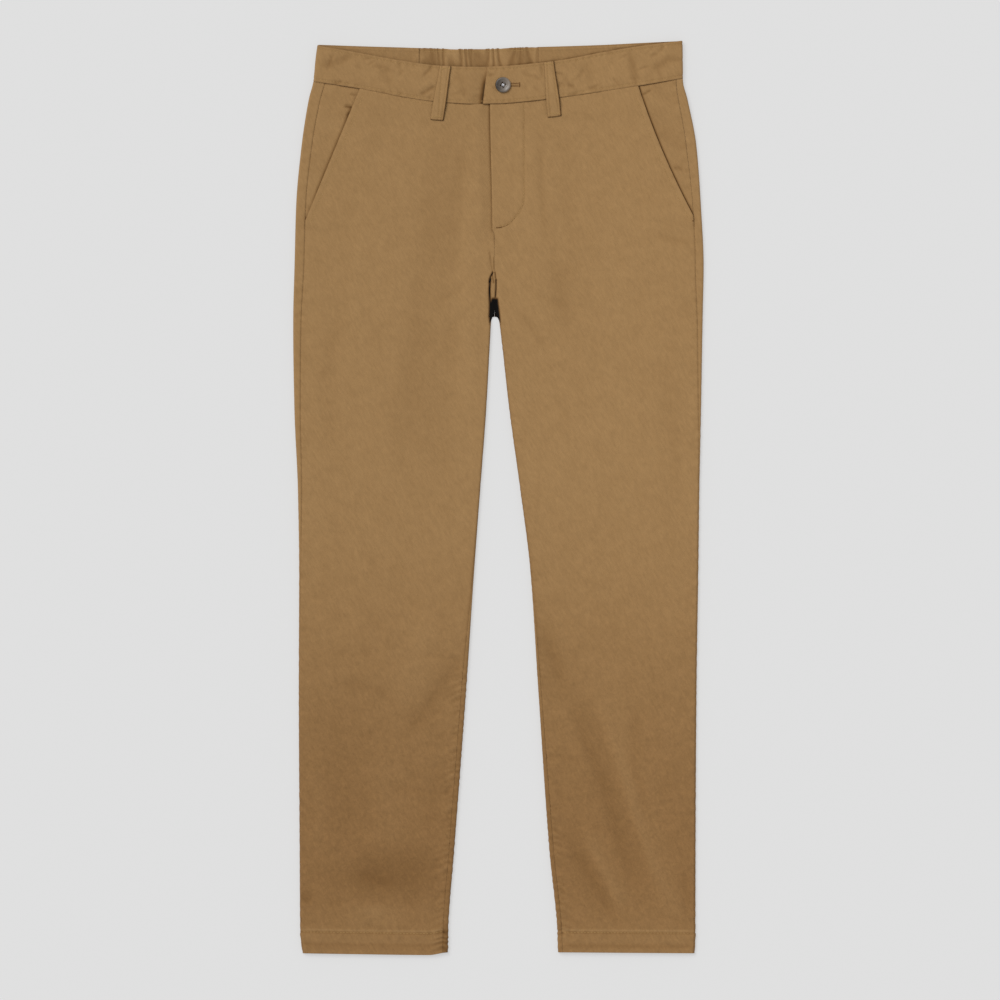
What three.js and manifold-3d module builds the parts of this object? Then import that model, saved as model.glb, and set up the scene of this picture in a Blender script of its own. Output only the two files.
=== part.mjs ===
// Chino trousers laid flat with the front up, in millimetres.
// X runs across, towards the wearer's left. Y runs up the garment, from the hems to the waist.
// Z is up, away from the surface that the trousers lie on. The origin is the middle of the outline,
// on that surface. Right and left are the wearer's: the right leg lies at negative X.
import * as THREE from "three";
import { mergeVertices } from "three/addons/utils/BufferGeometryUtils.js";
import Module from "manifold-3d";

// Walls and clearances
const CLOTH = 1.4; // one layer of twill
const HEM_CLOTH = 2.0; // a leg's wall where the hem is turned up inside it
const BAND_CLOTH = 2.0; // the doubled waistband
const BAND_EDGE = 0.35; // how much thinner the waistband is along its two edges
const LOOP_CLOTH = 1.0; // a belt loop
const ZIP_TAPE = 1.2;
const SEAM_GAP = 0.3; // between pieces that are sewn together
const LAP = CLOTH + SEAM_GAP; // how far a layer stands above the one that it laps over

// Heights of the garment as it lies
const EDGE_RADIUS = 2.6; // the rolled edge of a leg, which is twice as high there
const BODY_HEIGHT = 5.5; // the front's upper face, above the back's lower one
const BAND_RADIUS = 3.0; // the rolled ends of the waistband
const BAND_QUARTER = (BAND_RADIUS * Math.PI) / 2;
const BAND_HEIGHT = 6.2; // the front waistband's upper face, above the back waistband's lower one
const BAND_SWELL = 1.0; // more than that where its two ends lie on each other
const SETTLE = 18; // distance over which cloth settles from a rolled edge to its full height

// Lengths along the garment
const BACK_BAND_WIDTH = 42.5;
const HEM_DEPTH = 23;
const HEM_LINE = -523; // mean height of the hems' lower edges on Y
const LOOP_DROP = 20; // how far a belt loop reaches below the waistband's seam
const SLANT_UNDERLAP = 22; // how far a pocket facing reaches under the front
const FACING_DIP = 0.9; // how far a facing sinks under the pocket's mouth

// The middle of the garment
const CENTRE = -4.5; // the crotch on X
const BACK_CENTRE_TOP = -22.5; // top of the centre back seam on X: the back lies a little askew
const BACK_TOP = 473;
const FORK = 214; // where the legs part
const FORK_ROLL = 16; // length over which their inner edges then roll over
const CROTCH_DIP = { depth: 2.3, width: 5, top: 262 };

// The fly: the left front laps over the right one, down to the fly's end
const FLY_EDGE = { top: -9.8, bottom: -7.2 };
const FLY_TOP = 452;
const FLY_END = 309;
const FLY_BLEND = 9; // below its end the lap closes into a seam over this length
const FLY_SETTLE = 24; // and the layers lie level below this length
const FLY_UNDERLAP = 6; // how far the right front reaches under the left one
const FLY_SINK = { depth: LAP + 0.1, from: 16, to: 1 };
const ZIP = { width: 26, depth: LAP + 0.3, bottom: FLY_END + 8, top: FLY_TOP - 2 };

// The waistband's ends: the left one laps over the right one
const LAP_EDGE = { top: -12.9, bottom: -18.1 }; // end of the left waistband on X
const UNDERLAP_END = 30; // end of the right waistband on X
const BAND_SINK = { depth: BAND_CLOTH + SEAM_GAP + 0.1, from: 20, to: 2 };

// The back waistband is drawn in by elastic between these places on X
const ELASTIC = { from: -91, to: 46, gathers: 13, height: 0.9, stray: 0.3, steps: 4 };

// Outline of each leg, from the hem up. outer is the outer edge. inner is the inner edge, which is
// the centre seam above the crotch. side and inseam say how far those seams lie from the edges,
// measured over the rolled edge towards the middle of the leg.
const RIGHT_LEG = [
  { y: -526, outer: -224.5, inner: -58.4, side: 2.2, inseam: 7.5 },
  { y: -497, outer: -228.0, inner: -57.8, side: 2.2, inseam: 7.5 },
  { y: -405, outer: -228.6, inner: -50.9, side: 2.2, inseam: 7.5 },
  { y: -221, outer: -229.6, inner: -37.1, side: 2.2, inseam: 7.0 },
  { y: -83, outer: -229.2, inner: -27.9, side: 3.2, inseam: 2.0 },
  { y: 9, outer: -230.6, inner: -21.0, side: 6.0, inseam: 0.5 },
  { y: 101, outer: -234.6, inner: -14.1, side: 8.4, inseam: 0.5 },
  { y: 193, outer: -236.0, inner: -9.0, side: 10.5, inseam: 0.5 },
  { y: 203, outer: -236.0, inner: -8.4, side: 10.7, inseam: 0.5 },
  { y: FORK, outer: -235.9, inner: CENTRE, side: 11.0, inseam: 0.5 },
  { y: 266, outer: -234.5, inner: CENTRE, side: 12.4, inseam: 0.5 },
  { y: 336, outer: -232.6, inner: CENTRE, side: 12.6, inseam: 0.5 },
  { y: 405, outer: -226.3, inner: CENTRE, side: 13.4, inseam: 0.5 },
  { y: 457, outer: -218.2, inner: CENTRE, side: 14.8, inseam: 0.5 },
  { y: 480, outer: -212.5, inner: CENTRE, side: 15.3, inseam: 0.5 },
  { y: 503, outer: -210.2, inner: CENTRE, side: 15.3, inseam: 0.5 },
  { y: 526, outer: -207.6, inner: CENTRE, side: 15.3, inseam: 0.5 },
];
const LEFT_LEG = [
  { y: -526, outer: 225.0, inner: 68.7, side: 2.2, inseam: 6.5 },
  { y: -497, outer: 226.3, inner: 67.6, side: 2.2, inseam: 6.5 },
  { y: -405, outer: 226.5, inner: 58.4, side: 2.2, inseam: 6.5 },
  { y: -221, outer: 227.6, inner: 45.7, side: 2.2, inseam: 5.0 },
  { y: -83, outer: 229.7, inner: 36.5, side: 2.2, inseam: 1.5 },
  { y: 9, outer: 230.9, inner: 25.0, side: 2.2, inseam: 0.5 },
  { y: 101, outer: 232.8, inner: 12.4, side: 4.6, inseam: 0.5 },
  { y: 193, outer: 234.4, inner: 2.0, side: 7.2, inseam: 0.5 },
  { y: 203, outer: 234.6, inner: 0.6, side: 7.6, inseam: 0.5 },
  { y: FORK, outer: 234.8, inner: CENTRE, side: 8.2, inseam: 0.5 },
  { y: 266, outer: 235.8, inner: CENTRE, side: 11.0, inseam: 0.5 },
  { y: 336, outer: 232.6, inner: CENTRE, side: 10.8, inseam: 0.5 },
  { y: 405, outer: 227.4, inner: CENTRE, side: 13.0, inseam: 0.5 },
  { y: 457, outer: 217.4, inner: CENTRE, side: 12.0, inseam: 0.5 },
  { y: 480, outer: 211.9, inner: CENTRE, side: 9.0, inseam: 0.5 },
  { y: 503, outer: 211.6, inner: CENTRE, side: 8.4, inseam: 0.5 },
  { y: 526, outer: 211.3, inner: CENTRE, side: 8.4, inseam: 0.5 },
];

// The waist across the garment: the front waistband's top edge, its seam to the fronts, and the
// back waistband's top edge, which shows behind the front one
const WAIST = [
  { x: -214, frontTop: 520.6, seam: 478.4, backTop: 520.8 },
  { x: -160, frontTop: 511.0, seam: 470.1, backTop: 518.9 },
  { x: -110, frontTop: 501.9, seam: 460.5, backTop: 517.4 },
  { x: -70, frontTop: 496.6, seam: 454.9, backTop: 516.2 },
  { x: -30, frontTop: 495.0, seam: 452.4, backTop: 515.5 },
  { x: 0, frontTop: 495.6, seam: 452.7, backTop: 516.4 },
  { x: 32, frontTop: 498.1, seam: 455.2, backTop: 517.6 },
  { x: 74, frontTop: 503.1, seam: 460.2, backTop: 518.8 },
  { x: 118, frontTop: 511.5, seam: 466.7, backTop: 520.3 },
  { x: 160, frontTop: 518.6, seam: 473.1, backTop: 522.4 },
  { x: 214, frontTop: 525.4, seam: 482.2, backTop: 525.0 },
];

// The lower edges of the hems
const HEM = [
  { x: -228, y: -523.4 },
  { x: -150, y: -524.6 },
  { x: -80, y: -525.4 },
  { x: -58, y: -522.4 },
  { x: 68, y: -522.4 },
  { x: 150, y: -522.9 },
  { x: 226, y: -523.4 },
];

// The slanted mouth of each front pocket, from the waistband's seam to its lower end
const RIGHT_SLANT = { xTop: -159.5, yTop: 470, xEnd: -222.5, yEnd: 317.5, bow: 0 };
const LEFT_SLANT = { xTop: 160.4, yTop: 473.5, xEnd: 224.9, yEnd: 322, bow: 4 };
const FACING_FOOT = 10; // a facing ends this far above the lower end of the mouth

// The largest folds of the fronts, each from one end to the other. A trough's height is negative.
const FOLDS = [
  { x0: -50, y0: 462, x1: -60, y1: 205, width: 20, height: -1.1 },
  { x0: -57, y0: 250, x1: -80, y1: -30, width: 24, height: -1.0 },
  { x0: -104, y0: 440, x1: -118, y1: 130, width: 30, height: 0.6 },
  { x0: -24, y0: 410, x1: -32, y1: 120, width: 15, height: 0.6 },
  { x0: -72, y0: -120, x1: -104, y1: -262, width: 26, height: 0.9 },
  { x0: -30, y0: -176, x1: -112, y1: -282, width: 12, height: -1.4 },
  { x0: -196, y0: -190, x1: -160, y1: -420, width: 32, height: -0.9 },
  { x0: -132, y0: -280, x1: -128, y1: -430, width: 24, height: 0.7 },
  { x0: -222, y0: -440, x1: -58, y1: -428, width: 17, height: -1.0 },
  { x0: 62, y0: 455, x1: 82, y1: 170, width: 20, height: -1.0 },
  { x0: 33, y0: 440, x1: 50, y1: 190, width: 17, height: 0.6 },
  { x0: 36, y0: -110, x1: 84, y1: -250, width: 18, height: -1.0 },
  { x0: 112, y0: -190, x1: 180, y1: -410, width: 18, height: 1.1 },
  { x0: 160, y0: -340, x1: 212, y1: -505, width: 15, height: 0.9 },
  { x0: 84, y0: -190, x1: 176, y1: -470, width: 15, height: -1.2 },
  { x0: 94, y0: -370, x1: 150, y1: -480, width: 13, height: 1.0 },
  { x0: 76, y0: -360, x1: 130, y1: -500, width: 13, height: -1.1 },
];
const FOLD_LIMIT = 1.5; // no group of folds rises or sinks by more
const FOLD_END = 0.3; // share of a fold's length over which each end dies away

// Belt loops. The front ones lie on the garment; the back ones lie under it, and carry the waist.
const FRONT_LOOPS = [
  { name: "belt_loop_front_right", xTop: -60.8, xFoot: -70.8, topWidth: 13, footWidth: 15 },
  { name: "belt_loop_front_left", xTop: 58.0, xFoot: 64.5, topWidth: 11.5, footWidth: 15.5 },
];
const BACK_LOOPS = [
  { name: "belt_loop_back_right", x: -132 },
  { name: "belt_loop_back_centre", x: BACK_CENTRE_TOP },
  { name: "belt_loop_back_left", x: 104 },
];
const BACK_LOOP_WIDTH = 13;
const LOOP_REST = 0.45; // how far a front loop stands off the cloth at its ends
const LOOP_BOW = 0.6; // and how much more in its middle
const LOOP_EDGE = 0.2; // how much thinner a loop is along its edges
const LOOP_LIFT = LOOP_CLOTH + SEAM_GAP; // the waist rests this high on the back loops
const LOOP_LIFT_FROM = 424; // the back leaves the surface here on Y, and is up at the next
const LOOP_LIFT_TO = 450;

const BUTTON = { x: 5.2, y: 474, radius: 8.9, thick: 3, floor: 2.1, hole: 0.9, ring: 2.6, turn: 0.24, sides: 32 };

// Rows of the legs' panels, from the waist down: how many there are to each height
const STRETCHES = [
  { to: 330, rows: 5 },
  { to: FLY_END, rows: 1 },
  { to: FLY_END - FLY_BLEND, rows: 1 },
  { to: FLY_END - FLY_SETTLE, rows: 1 },
  { to: CROTCH_DIP.top, rows: 1 },
  { to: FORK, rows: 3 },
  { to: FORK - FORK_ROLL, rows: 4 },
  { to: -100, rows: 5 },
  { to: HEM_LINE + HEM_DEPTH + 3, rows: 11 },
  { to: HEM_LINE + HEM_DEPTH, rows: 1 },
  { to: HEM_LINE, rows: 1 },
];
const WAIST_CURVE_FROM = 300; // above this the rows bend towards the curve of the waist

// Rows of the waistband, from its seam to its top edge: the share of its width, and how much
// thinner it is there
const BAND_ROWS = [
  { up: 0, thinner: BAND_EDGE },
  { up: 0.08, thinner: 0 },
  { up: 0.92, thinner: 0 },
  { up: 1, thinner: BAND_EDGE },
];

const SHADES = { cloth: 0x9b7c54, inside: 0x94744d, zip: 0x6d5a41, button: 0x5e554a };

/** Eases from 0 at a to 1 at b. */
function ease(a, b, value) {
  const t = Math.min(1, Math.max(0, (value - a) / (b - a)));
  return t * t * (3 - 2 * t);
}

function mix(a, b, share) {
  return a + (b - a) * share;
}

/** Places after a, in even steps, up to b. */
function steps(a, b, count) {
  return Array.from({ length: count }, (_, i) => mix(a, b, (i + 1) / count));
}

/** A smooth curve through a column of a table, which never overshoots its rows. */
function curveThrough(table, by, column) {
  const at = table.map((row) => row[by]);
  const value = table.map((row) => row[column]);
  const rise = at.slice(1).map((a, i) => (value[i + 1] - value[i]) / (a - at[i]));
  const slope = at.map((_, i) => {
    const before = rise[Math.max(0, i - 1)];
    const after = rise[Math.min(rise.length - 1, i)];
    return before * after <= 0 ? 0 : (2 * before * after) / (before + after);
  });
  return (where) => {
    const above = at.findIndex((a) => a > where);
    const i = above < 0 ? at.length - 2 : Math.max(0, above - 1);
    const span = at[i + 1] - at[i];
    const t = Math.min(1, Math.max(0, (where - at[i]) / span));
    const ends = mix(value[i], value[i + 1], t * t * (3 - 2 * t));
    return ends + span * t * (1 - t) * (slope[i] * (1 - t) - slope[i + 1] * t);
  };
}

const frontTop = curveThrough(WAIST, "x", "frontTop");
const frontSeam = curveThrough(WAIST, "x", "seam");
const backTop = curveThrough(WAIST, "x", "backTop");
const backSeam = (x) => backTop(x) - BACK_BAND_WIDTH;
const hemEdge = curveThrough(HEM, "x", "y");

/** Height that the large folds add to the front's upper face. */
function foldHeight(x, y) {
  let sum = 0;
  for (const fold of FOLDS) {
    const dx = fold.x1 - fold.x0;
    const dy = fold.y1 - fold.y0;
    const t = ((x - fold.x0) * dx + (y - fold.y0) * dy) / (dx * dx + dy * dy);
    const off = ((x - fold.x0) * dy - (y - fold.y0) * dx) / Math.hypot(dx, dy);
    const ends = ease(0, FOLD_END, t) * ease(0, FOLD_END, 1 - t);
    sum += fold.height * Math.exp(-((off / fold.width) ** 2)) * ends;
  }
  return FOLD_LIMIT * Math.tanh(sum / FOLD_LIMIT);
}

/** How high the back's lower face lies: it rises onto the back belt loops at the waist. */
function restHeight(y) {
  return LOOP_LIFT * ease(LOOP_LIFT_FROM, LOOP_LIFT_TO, y);
}

/** X of the fly's edge, which is the edge of the left front. */
function flyEdge(y) {
  return mix(FLY_EDGE.bottom, FLY_EDGE.top, ease(FLY_END, FLY_TOP, y));
}

/** One leg of the garment, with the half of the hips above it. */
class Leg {
  constructor(side, table, slant) {
    this.side = side; // 1 for the left leg, -1 for the right one
    this.slant = slant;
    this.outer = curveThrough(table, "y", "outer");
    this.inner = curveThrough(table, "y", "inner");
    this.sideSeam = curveThrough(table, "y", "side");
    this.inseam = curveThrough(table, "y", "inseam");
    this.quarter = (EDGE_RADIUS * Math.PI) / 2;
  }

  /** X of a point that lies some way in from the outer edge. */
  xAt(y, inward) {
    return this.outer(y) - this.side * inward;
  }

  inwardOf(y, x) {
    return this.side * (this.outer(y) - x);
  }

  /** 0 where the inner edge is sewn flat to the other leg's, 1 where it rolls over. */
  roll(y) {
    return 1 - ease(FORK - FORK_ROLL, FORK, y);
  }

  /** How far in the front reaches: to the fly, the crotch seam or the leg's inner edge. */
  frontReach(y) {
    const under = this.side < 0 ? FLY_UNDERLAP : 0;
    const lap = ease(FLY_END - FLY_BLEND, FLY_END, y);
    return this.inwardOf(y, mix(this.inner(y), flyEdge(y) + under, lap));
  }

  /** How far in the back reaches: to the centre back seam or the leg's inner edge. */
  backReach(y) {
    const seam = mix(CENTRE, BACK_CENTRE_TOP, Math.min(1, (y - FORK) / (BACK_TOP - FORK)));
    return this.inwardOf(y, y > FORK ? seam : this.inner(y));
  }

  /** How far in the flat stretch ends and the inner edge starts to roll over. */
  crest(y, reach) {
    return reach - EDGE_RADIUS * Math.sin((this.roll(y) * Math.PI) / 2);
  }

  /** How far the upper face sinks into the crotch. */
  crotchDip(y, x) {
    const { depth, width, top } = CROTCH_DIP;
    const across = Math.exp(-(((x - CENTRE) / width) ** 2));
    return depth * across * (1 - ease(FORK, top, y)) * (1 - this.roll(y));
  }

  /** Height of the upper face above the back's lower one, without laps. */
  topHeight(y, inward) {
    const fromEdge = Math.max(0, inward - EDGE_RADIUS);
    const fromCrest = Math.max(0, this.crest(y, this.frontReach(y)) - inward);
    const settled = (reach) =>
      (1 - Math.exp(-fromEdge / reach)) * (1 - this.roll(y) * Math.exp(-fromCrest / reach));
    const x = this.xAt(y, inward);
    const full = (BODY_HEIGHT - 2 * EDGE_RADIUS) * settled(SETTLE);
    return 2 * EDGE_RADIUS + full + foldHeight(x, y) * settled(SETTLE / 2) - this.crotchDip(y, x);
  }

  /** A point of the upper face, at a length over it from the outer edge. */
  overPoint(y, length) {
    const R = EDGE_RADIUS;
    const crest = this.crest(y, this.frontReach(y));
    const flatEnd = this.quarter + crest - R;
    if (length < this.quarter) {
      const a = length / R;
      return { inward: R * (1 - Math.cos(a)), z: R + R * Math.sin(a), normal: [-Math.cos(a), Math.sin(a)] };
    }
    if (length <= flatEnd) {
      const inward = R + length - this.quarter;
      return { inward, z: this.topHeight(y, inward), normal: [0, 1] };
    }
    const a = (length - flatEnd) / R;
    const z = this.topHeight(y, crest) - R * (1 - Math.cos(a));
    return { inward: crest + R * Math.sin(a), z, normal: [Math.sin(a), Math.cos(a)] };
  }

  /** A point of the lower face, at a length under it from the outer edge, and up round the inner edge. */
  underPoint(y, length) {
    const R = EDGE_RADIUS;
    const crest = this.crest(y, this.backReach(y));
    const flatEnd = this.quarter + crest - R;
    if (length < 0) return this.overPoint(y, -length);
    if (length < this.quarter) {
      const a = length / R;
      return { inward: R * (1 - Math.cos(a)), z: R - R * Math.sin(a), normal: [-Math.cos(a), -Math.sin(a)] };
    }
    if (length <= flatEnd) return { inward: R + length - this.quarter, z: 0, normal: [0, -1] };
    const a = (length - flatEnd) / R;
    if (a <= Math.PI) {
      const z = R * (1 - Math.cos(a));
      return { inward: crest + R * Math.sin(a), z, normal: [Math.sin(a), -Math.cos(a)] };
    }
    const inward = crest - (a - Math.PI) * R;
    return { inward, z: this.topHeight(y, inward), normal: [0, 1] };
  }

  /** X of the pocket's mouth. */
  mouthX(y) {
    const { xTop, yTop, xEnd, yEnd, bow } = this.slant;
    const t = (y - yEnd) / (yTop - yEnd);
    return mix(xEnd, xTop, t) - this.side * bow * Math.max(0, 4 * t * (1 - t));
  }

  /** Length over the upper face from the outer edge to the pocket's mouth. */
  mouthLength(y) {
    return this.inwardOf(y, this.mouthX(y)) - EDGE_RADIUS + this.quarter;
  }

  /** How far the facing dips under the pocket's mouth. */
  facingDip(y, inward) {
    const seam = this.sideSeam(y) - this.quarter + EDGE_RADIUS;
    return FACING_DIP * ease(seam, seam + SLANT_UNDERLAP, inward);
  }

  /** How far the front stands up over the facing, and the right front sinks under the fly. */
  frontLift(y, inward) {
    const x = this.xAt(y, inward);
    const past = this.side * (this.mouthX(y) - x);
    const over = 1 - ease(SLANT_UNDERLAP + 4, 2.5 * SLANT_UNDERLAP, past);
    const pocket = (LAP - this.facingDip(y, inward)) * over * ease(this.slant.yEnd - 14, this.slant.yEnd, y);
    if (this.side > 0) return pocket;
    const edge = flyEdge(y);
    const level = ease(FLY_END - FLY_SETTLE, FLY_END - FLY_BLEND, y);
    return pocket - FLY_SINK.depth * level * ease(edge - FLY_SINK.from, edge - FLY_SINK.to, x);
  }

  /** The waistband's upper face, above the back waistband's lower one. */
  bandHeight(y, inward) {
    const x = this.xAt(y, inward);
    const settled = 1 - Math.exp(-Math.max(0, inward - BAND_RADIUS) / SETTLE);
    const swell = BAND_SWELL * ease(-66, -34, x) * (1 - ease(38, 74, x));
    return 2 * BAND_RADIUS + (BAND_HEIGHT - 2 * BAND_RADIUS) * settled + swell;
  }
}

const rightLeg = new Leg(-1, RIGHT_LEG, RIGHT_SLANT);
const leftLeg = new Leg(1, LEFT_LEG, LEFT_SLANT);

/** The upper face of the garment below the waistband. */
function bodyTop(x, y) {
  const leg = x < CENTRE ? rightLeg : leftLeg;
  return restHeight(y) + leg.topHeight(y, leg.inwardOf(y, x));
}

function bandTop(x, y) {
  const leg = x < CENTRE ? rightLeg : leftLeg;
  return restHeight(y) + leg.bandHeight(y, leg.inwardOf(y, x));
}

/** A closed geometry whose faces point out. */
function closed(points, faces) {
  const cross = new THREE.Vector3();
  const volumes = faces.map(([a, b, c]) => points[a].dot(cross.crossVectors(points[b], points[c])));
  const volume = volumes.reduce((sum, one) => sum + one, 0);
  const geometry = new THREE.BufferGeometry().setFromPoints(points);
  geometry.setIndex((volume < 0 ? faces.map(([a, b, c]) => [a, c, b]) : faces).flat());
  geometry.computeVertexNormals();
  return geometry;
}

/** A closed wall from a grid of places, each a point of its outer face and one of its inner face. */
function wall(grid) {
  const rows = grid.length;
  const columns = grid[0].length;
  const id = (i, j) => i * columns + j;
  const behind = rows * columns;
  const faces = [];
  const quad = (a, b, c, d) => faces.push([a, b, c], [a, c, d]);
  for (let i = 0; i < rows - 1; i += 1) {
    for (let j = 0; j < columns - 1; j += 1) {
      const corners = [id(i, j), id(i, j + 1), id(i + 1, j + 1), id(i + 1, j)];
      quad(...corners);
      quad(...corners.map((corner) => corner + behind).reverse());
    }
  }
  const rim = [];
  for (let j = 0; j < columns - 1; j += 1) rim.push(id(0, j));
  for (let i = 0; i < rows - 1; i += 1) rim.push(id(i, columns - 1));
  for (let j = columns - 1; j > 0; j -= 1) rim.push(id(rows - 1, j));
  for (let i = rows - 1; i > 0; i -= 1) rim.push(id(i, 0));
  rim.forEach((a, k) => {
    const b = rim[(k + 1) % rim.length];
    quad(b, a, a + behind, b + behind);
  });
  const places = grid.flat();
  return closed([...places.map(([outer]) => outer), ...places.map(([, inner]) => inner)], faces);
}

/** The points of a wall's two faces, from a point on a leg, the wall's thickness and a rise. */
function facesAt(leg, y, point, thick, rise = 0, thinner = 0) {
  const [outward, up] = point.normal;
  const face = (depth) => {
    const z = restHeight(y) + rise + point.z - up * depth;
    return new THREE.Vector3(leg.xAt(y, point.inward - outward * depth), y, z);
  };
  return [face(thinner), face(thick)];
}

/** Y of a point of a row: the first row follows the waist's seam and the last one the hem. */
function rowHeight(row, x, share) {
  const seam = mix(frontSeam(x), backSeam(x), share) - SEAM_GAP - FLY_TOP;
  const hem = hemEdge(x) - HEM_LINE;
  const toWaist = ease(WAIST_CURVE_FROM, FLY_TOP, row);
  const toHem = 1 - ease(HEM_LINE, HEM_LINE + 2 * HEM_DEPTH, row);
  return row + seam * toWaist + hem * toHem;
}

/** The height at which a row passes a place, which itself moves with the height. */
function heightOn(leg, row, share, place) {
  let y = row;
  for (let pass = 0; pass < 5; pass += 1) y = rowHeight(row, leg.xAt(y, place(y).inward), share);
  return y;
}

/** Rows of the legs' panels, with the wall's thickness at each. */
function panelRows() {
  const rows = [FLY_TOP];
  for (const { to, rows: count } of STRETCHES) rows.push(...steps(rows.at(-1), to, count));
  return rows.map((row) => ({ row, thick: row <= HEM_LINE + HEM_DEPTH ? HEM_CLOTH : CLOTH }));
}

/** Columns of a front: some at set distances from each edge, the rest evenly between them. */
function frontColumns(leg, y) {
  const fromStart = [0, 1, 2.2, 6, 13, 23];
  const fromEnd = [9, 4.6, 3, 1.5, 0];
  const start = Math.max(leg.sideSeam(y), leg.mouthLength(y)) + SEAM_GAP / 2;
  const flatEnd = leg.quarter + leg.crest(y, leg.frontReach(y)) - EDGE_RADIUS;
  const end = flatEnd + leg.roll(y) * (leg.quarter - leg.inseam(y)) - SEAM_GAP / 2;
  const between = steps(start + fromStart.at(-1), end - fromEnd[0], 8).slice(0, -1);
  return [...fromStart.map((d) => start + d), ...between, ...fromEnd.map((d) => end - d)];
}

/** Columns of a back, from the side seam over the outer edge, under the leg and up to the inseam. */
function backColumns(leg, y) {
  const side = leg.sideSeam(y) - SEAM_GAP / 2;
  const arc = 0.75 * Math.min(side, leg.quarter);
  const roll = leg.roll(y);
  const flatEnd = leg.quarter + leg.crest(y, leg.backReach(y)) - EDGE_RADIUS;
  const end = flatEnd + roll * (leg.quarter + leg.inseam(y)) - SEAM_GAP / 2;
  const turn = end - mix(8, end - flatEnd, roll);
  return [
    -side,
    -(side + arc) / 2,
    -arc,
    ...steps(-arc, leg.quarter, 5),
    ...steps(leg.quarter, turn, 3),
    ...steps(turn, end, 6),
  ];
}

/** A front, from the waistband's seam to the hem and from the side seam to the inner edge. */
function frontPanel(leg) {
  const grid = panelRows().map(({ row, thick }) =>
    frontColumns(leg, row).map((_, column) => {
      const place = (y) => leg.overPoint(y, frontColumns(leg, y)[column]);
      const y = heightOn(leg, row, 0, place);
      const point = place(y);
      return facesAt(leg, y, point, thick, leg.frontLift(y, point.inward));
    }),
  );
  return wall(grid);
}

/** A back, which wraps over the outer edge to the side seam and up to the inseam. */
function backPanel(leg) {
  const grid = panelRows().map(({ row, thick }) =>
    backColumns(leg, row).map((length, column) => {
      const share = ease(-leg.quarter, leg.quarter, length);
      const place = (y) => leg.underPoint(y, backColumns(leg, y)[column]);
      const y = heightOn(leg, row, share, place);
      return facesAt(leg, y, place(y), thick);
    }),
  );
  return wall(grid);
}

/** The cloth behind a pocket's mouth, from the side seam to some way under the front. */
function pocketFacing(leg) {
  const foot = leg.slant.yEnd + FACING_FOOT;
  const rows = panelRows().map(({ row }) => row).filter((row) => row > foot + 1);
  const grid = [...rows, foot].map((row) =>
    [0, ...steps(0, 1, 8)].map((across) => {
      const place = (y) => {
        const start = leg.sideSeam(y) + SEAM_GAP / 2;
        return leg.overPoint(y, mix(start, leg.mouthLength(y) + SLANT_UNDERLAP, across));
      };
      const y = heightOn(leg, row, 0, place);
      const point = place(y);
      return facesAt(leg, y, point, CLOTH, -leg.facingDip(y, point.inward));
    }),
  );
  return wall(grid);
}

/** The closed zip under the fly, beside the edge of the right front. */
function flyZip() {
  const grid = [ZIP.top, ...steps(ZIP.top, ZIP.bottom, 5)].map((y) =>
    [0, ...steps(0, ZIP.width, 4)].map((across) => {
      const x = flyEdge(y) + FLY_UNDERLAP + SEAM_GAP + across;
      const z = bodyTop(x, y) - ZIP.depth;
      return [new THREE.Vector3(x, y, z), new THREE.Vector3(x, y, z - ZIP_TAPE)];
    }),
  );
  return wall(grid);
}

/** Y of a point of the waistband, from the share of its width and the share of the back's curves. */
function bandY(x, up, share) {
  return mix(mix(frontSeam(x), backSeam(x), share), mix(frontTop(x), backTop(x), share), up);
}

/** X of the end of the left waistband, at a share of its width. */
function lapEdge(up) {
  return mix(LAP_EDGE.bottom, LAP_EDGE.top, up);
}

/** One part of the waistband: over the front from its end, round the outer edge, and under to the elastic. */
function waistband(leg, placesOver, elasticX, rise) {
  const R = BAND_RADIUS;
  const grid = BAND_ROWS.map(({ up, thinner }) => {
    const over = placesOver(up).map((x) => {
      const y = bandY(x, up, 0);
      const inward = leg.inwardOf(y, x);
      const point = { inward, z: leg.bandHeight(y, inward), normal: [0, 1] };
      return facesAt(leg, y, point, BAND_CLOTH, rise(x, up), thinner);
    });
    const round = [-BAND_QUARTER, ...steps(-BAND_QUARTER, BAND_QUARTER, 6)].map((length) => {
      const a = length / R;
      const inward = R * (1 - Math.cos(a));
      const share = ease(-BAND_QUARTER, BAND_QUARTER, length);
      let y = FLY_TOP;
      for (let pass = 0; pass < 6; pass += 1) y = bandY(leg.xAt(y, inward), up, share);
      const point = { inward, z: R - R * Math.sin(a), normal: [-Math.cos(a), -Math.sin(a)] };
      return facesAt(leg, y, point, BAND_CLOTH, 0, thinner);
    });
    const edge = leg.xAt(round.at(-1)[0].y, R);
    const under = steps(edge, elasticX + (leg.side * SEAM_GAP) / 2, 3).map((x) => {
      const y = bandY(x, up, 1);
      return facesAt(leg, y, { inward: leg.inwardOf(y, x), z: 0, normal: [0, -1] }, BAND_CLOTH, 0, thinner);
    });
    return [...over, ...round, ...under];
  });
  return wall(grid);
}

/** The right part of the waistband, whose end lies under the left one's. */
function rightWaistband() {
  const { depth, from, to } = BAND_SINK;
  const placesOver = (up) => {
    const lap = lapEdge(up);
    return [
      UNDERLAP_END,
      ...steps(UNDERLAP_END, lap - to, 3),
      ...steps(lap - to, lap - from, 3),
      ...steps(lap - from, -195, 8),
    ];
  };
  const sunk = (x, up) => -depth * ease(lapEdge(up) - from, lapEdge(up) - to, x);
  return waistband(rightLeg, placesOver, ELASTIC.from, sunk);
}

/** The left part of the waistband, whose end laps over the right one's. */
function leftWaistband() {
  const level = UNDERLAP_END + 8;
  const placesOver = (up) => [lapEdge(up), ...steps(lapEdge(up), level, 3), ...steps(level, 195, 8)];
  return waistband(leftLeg, placesOver, ELASTIC.to, () => 0);
}

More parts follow.
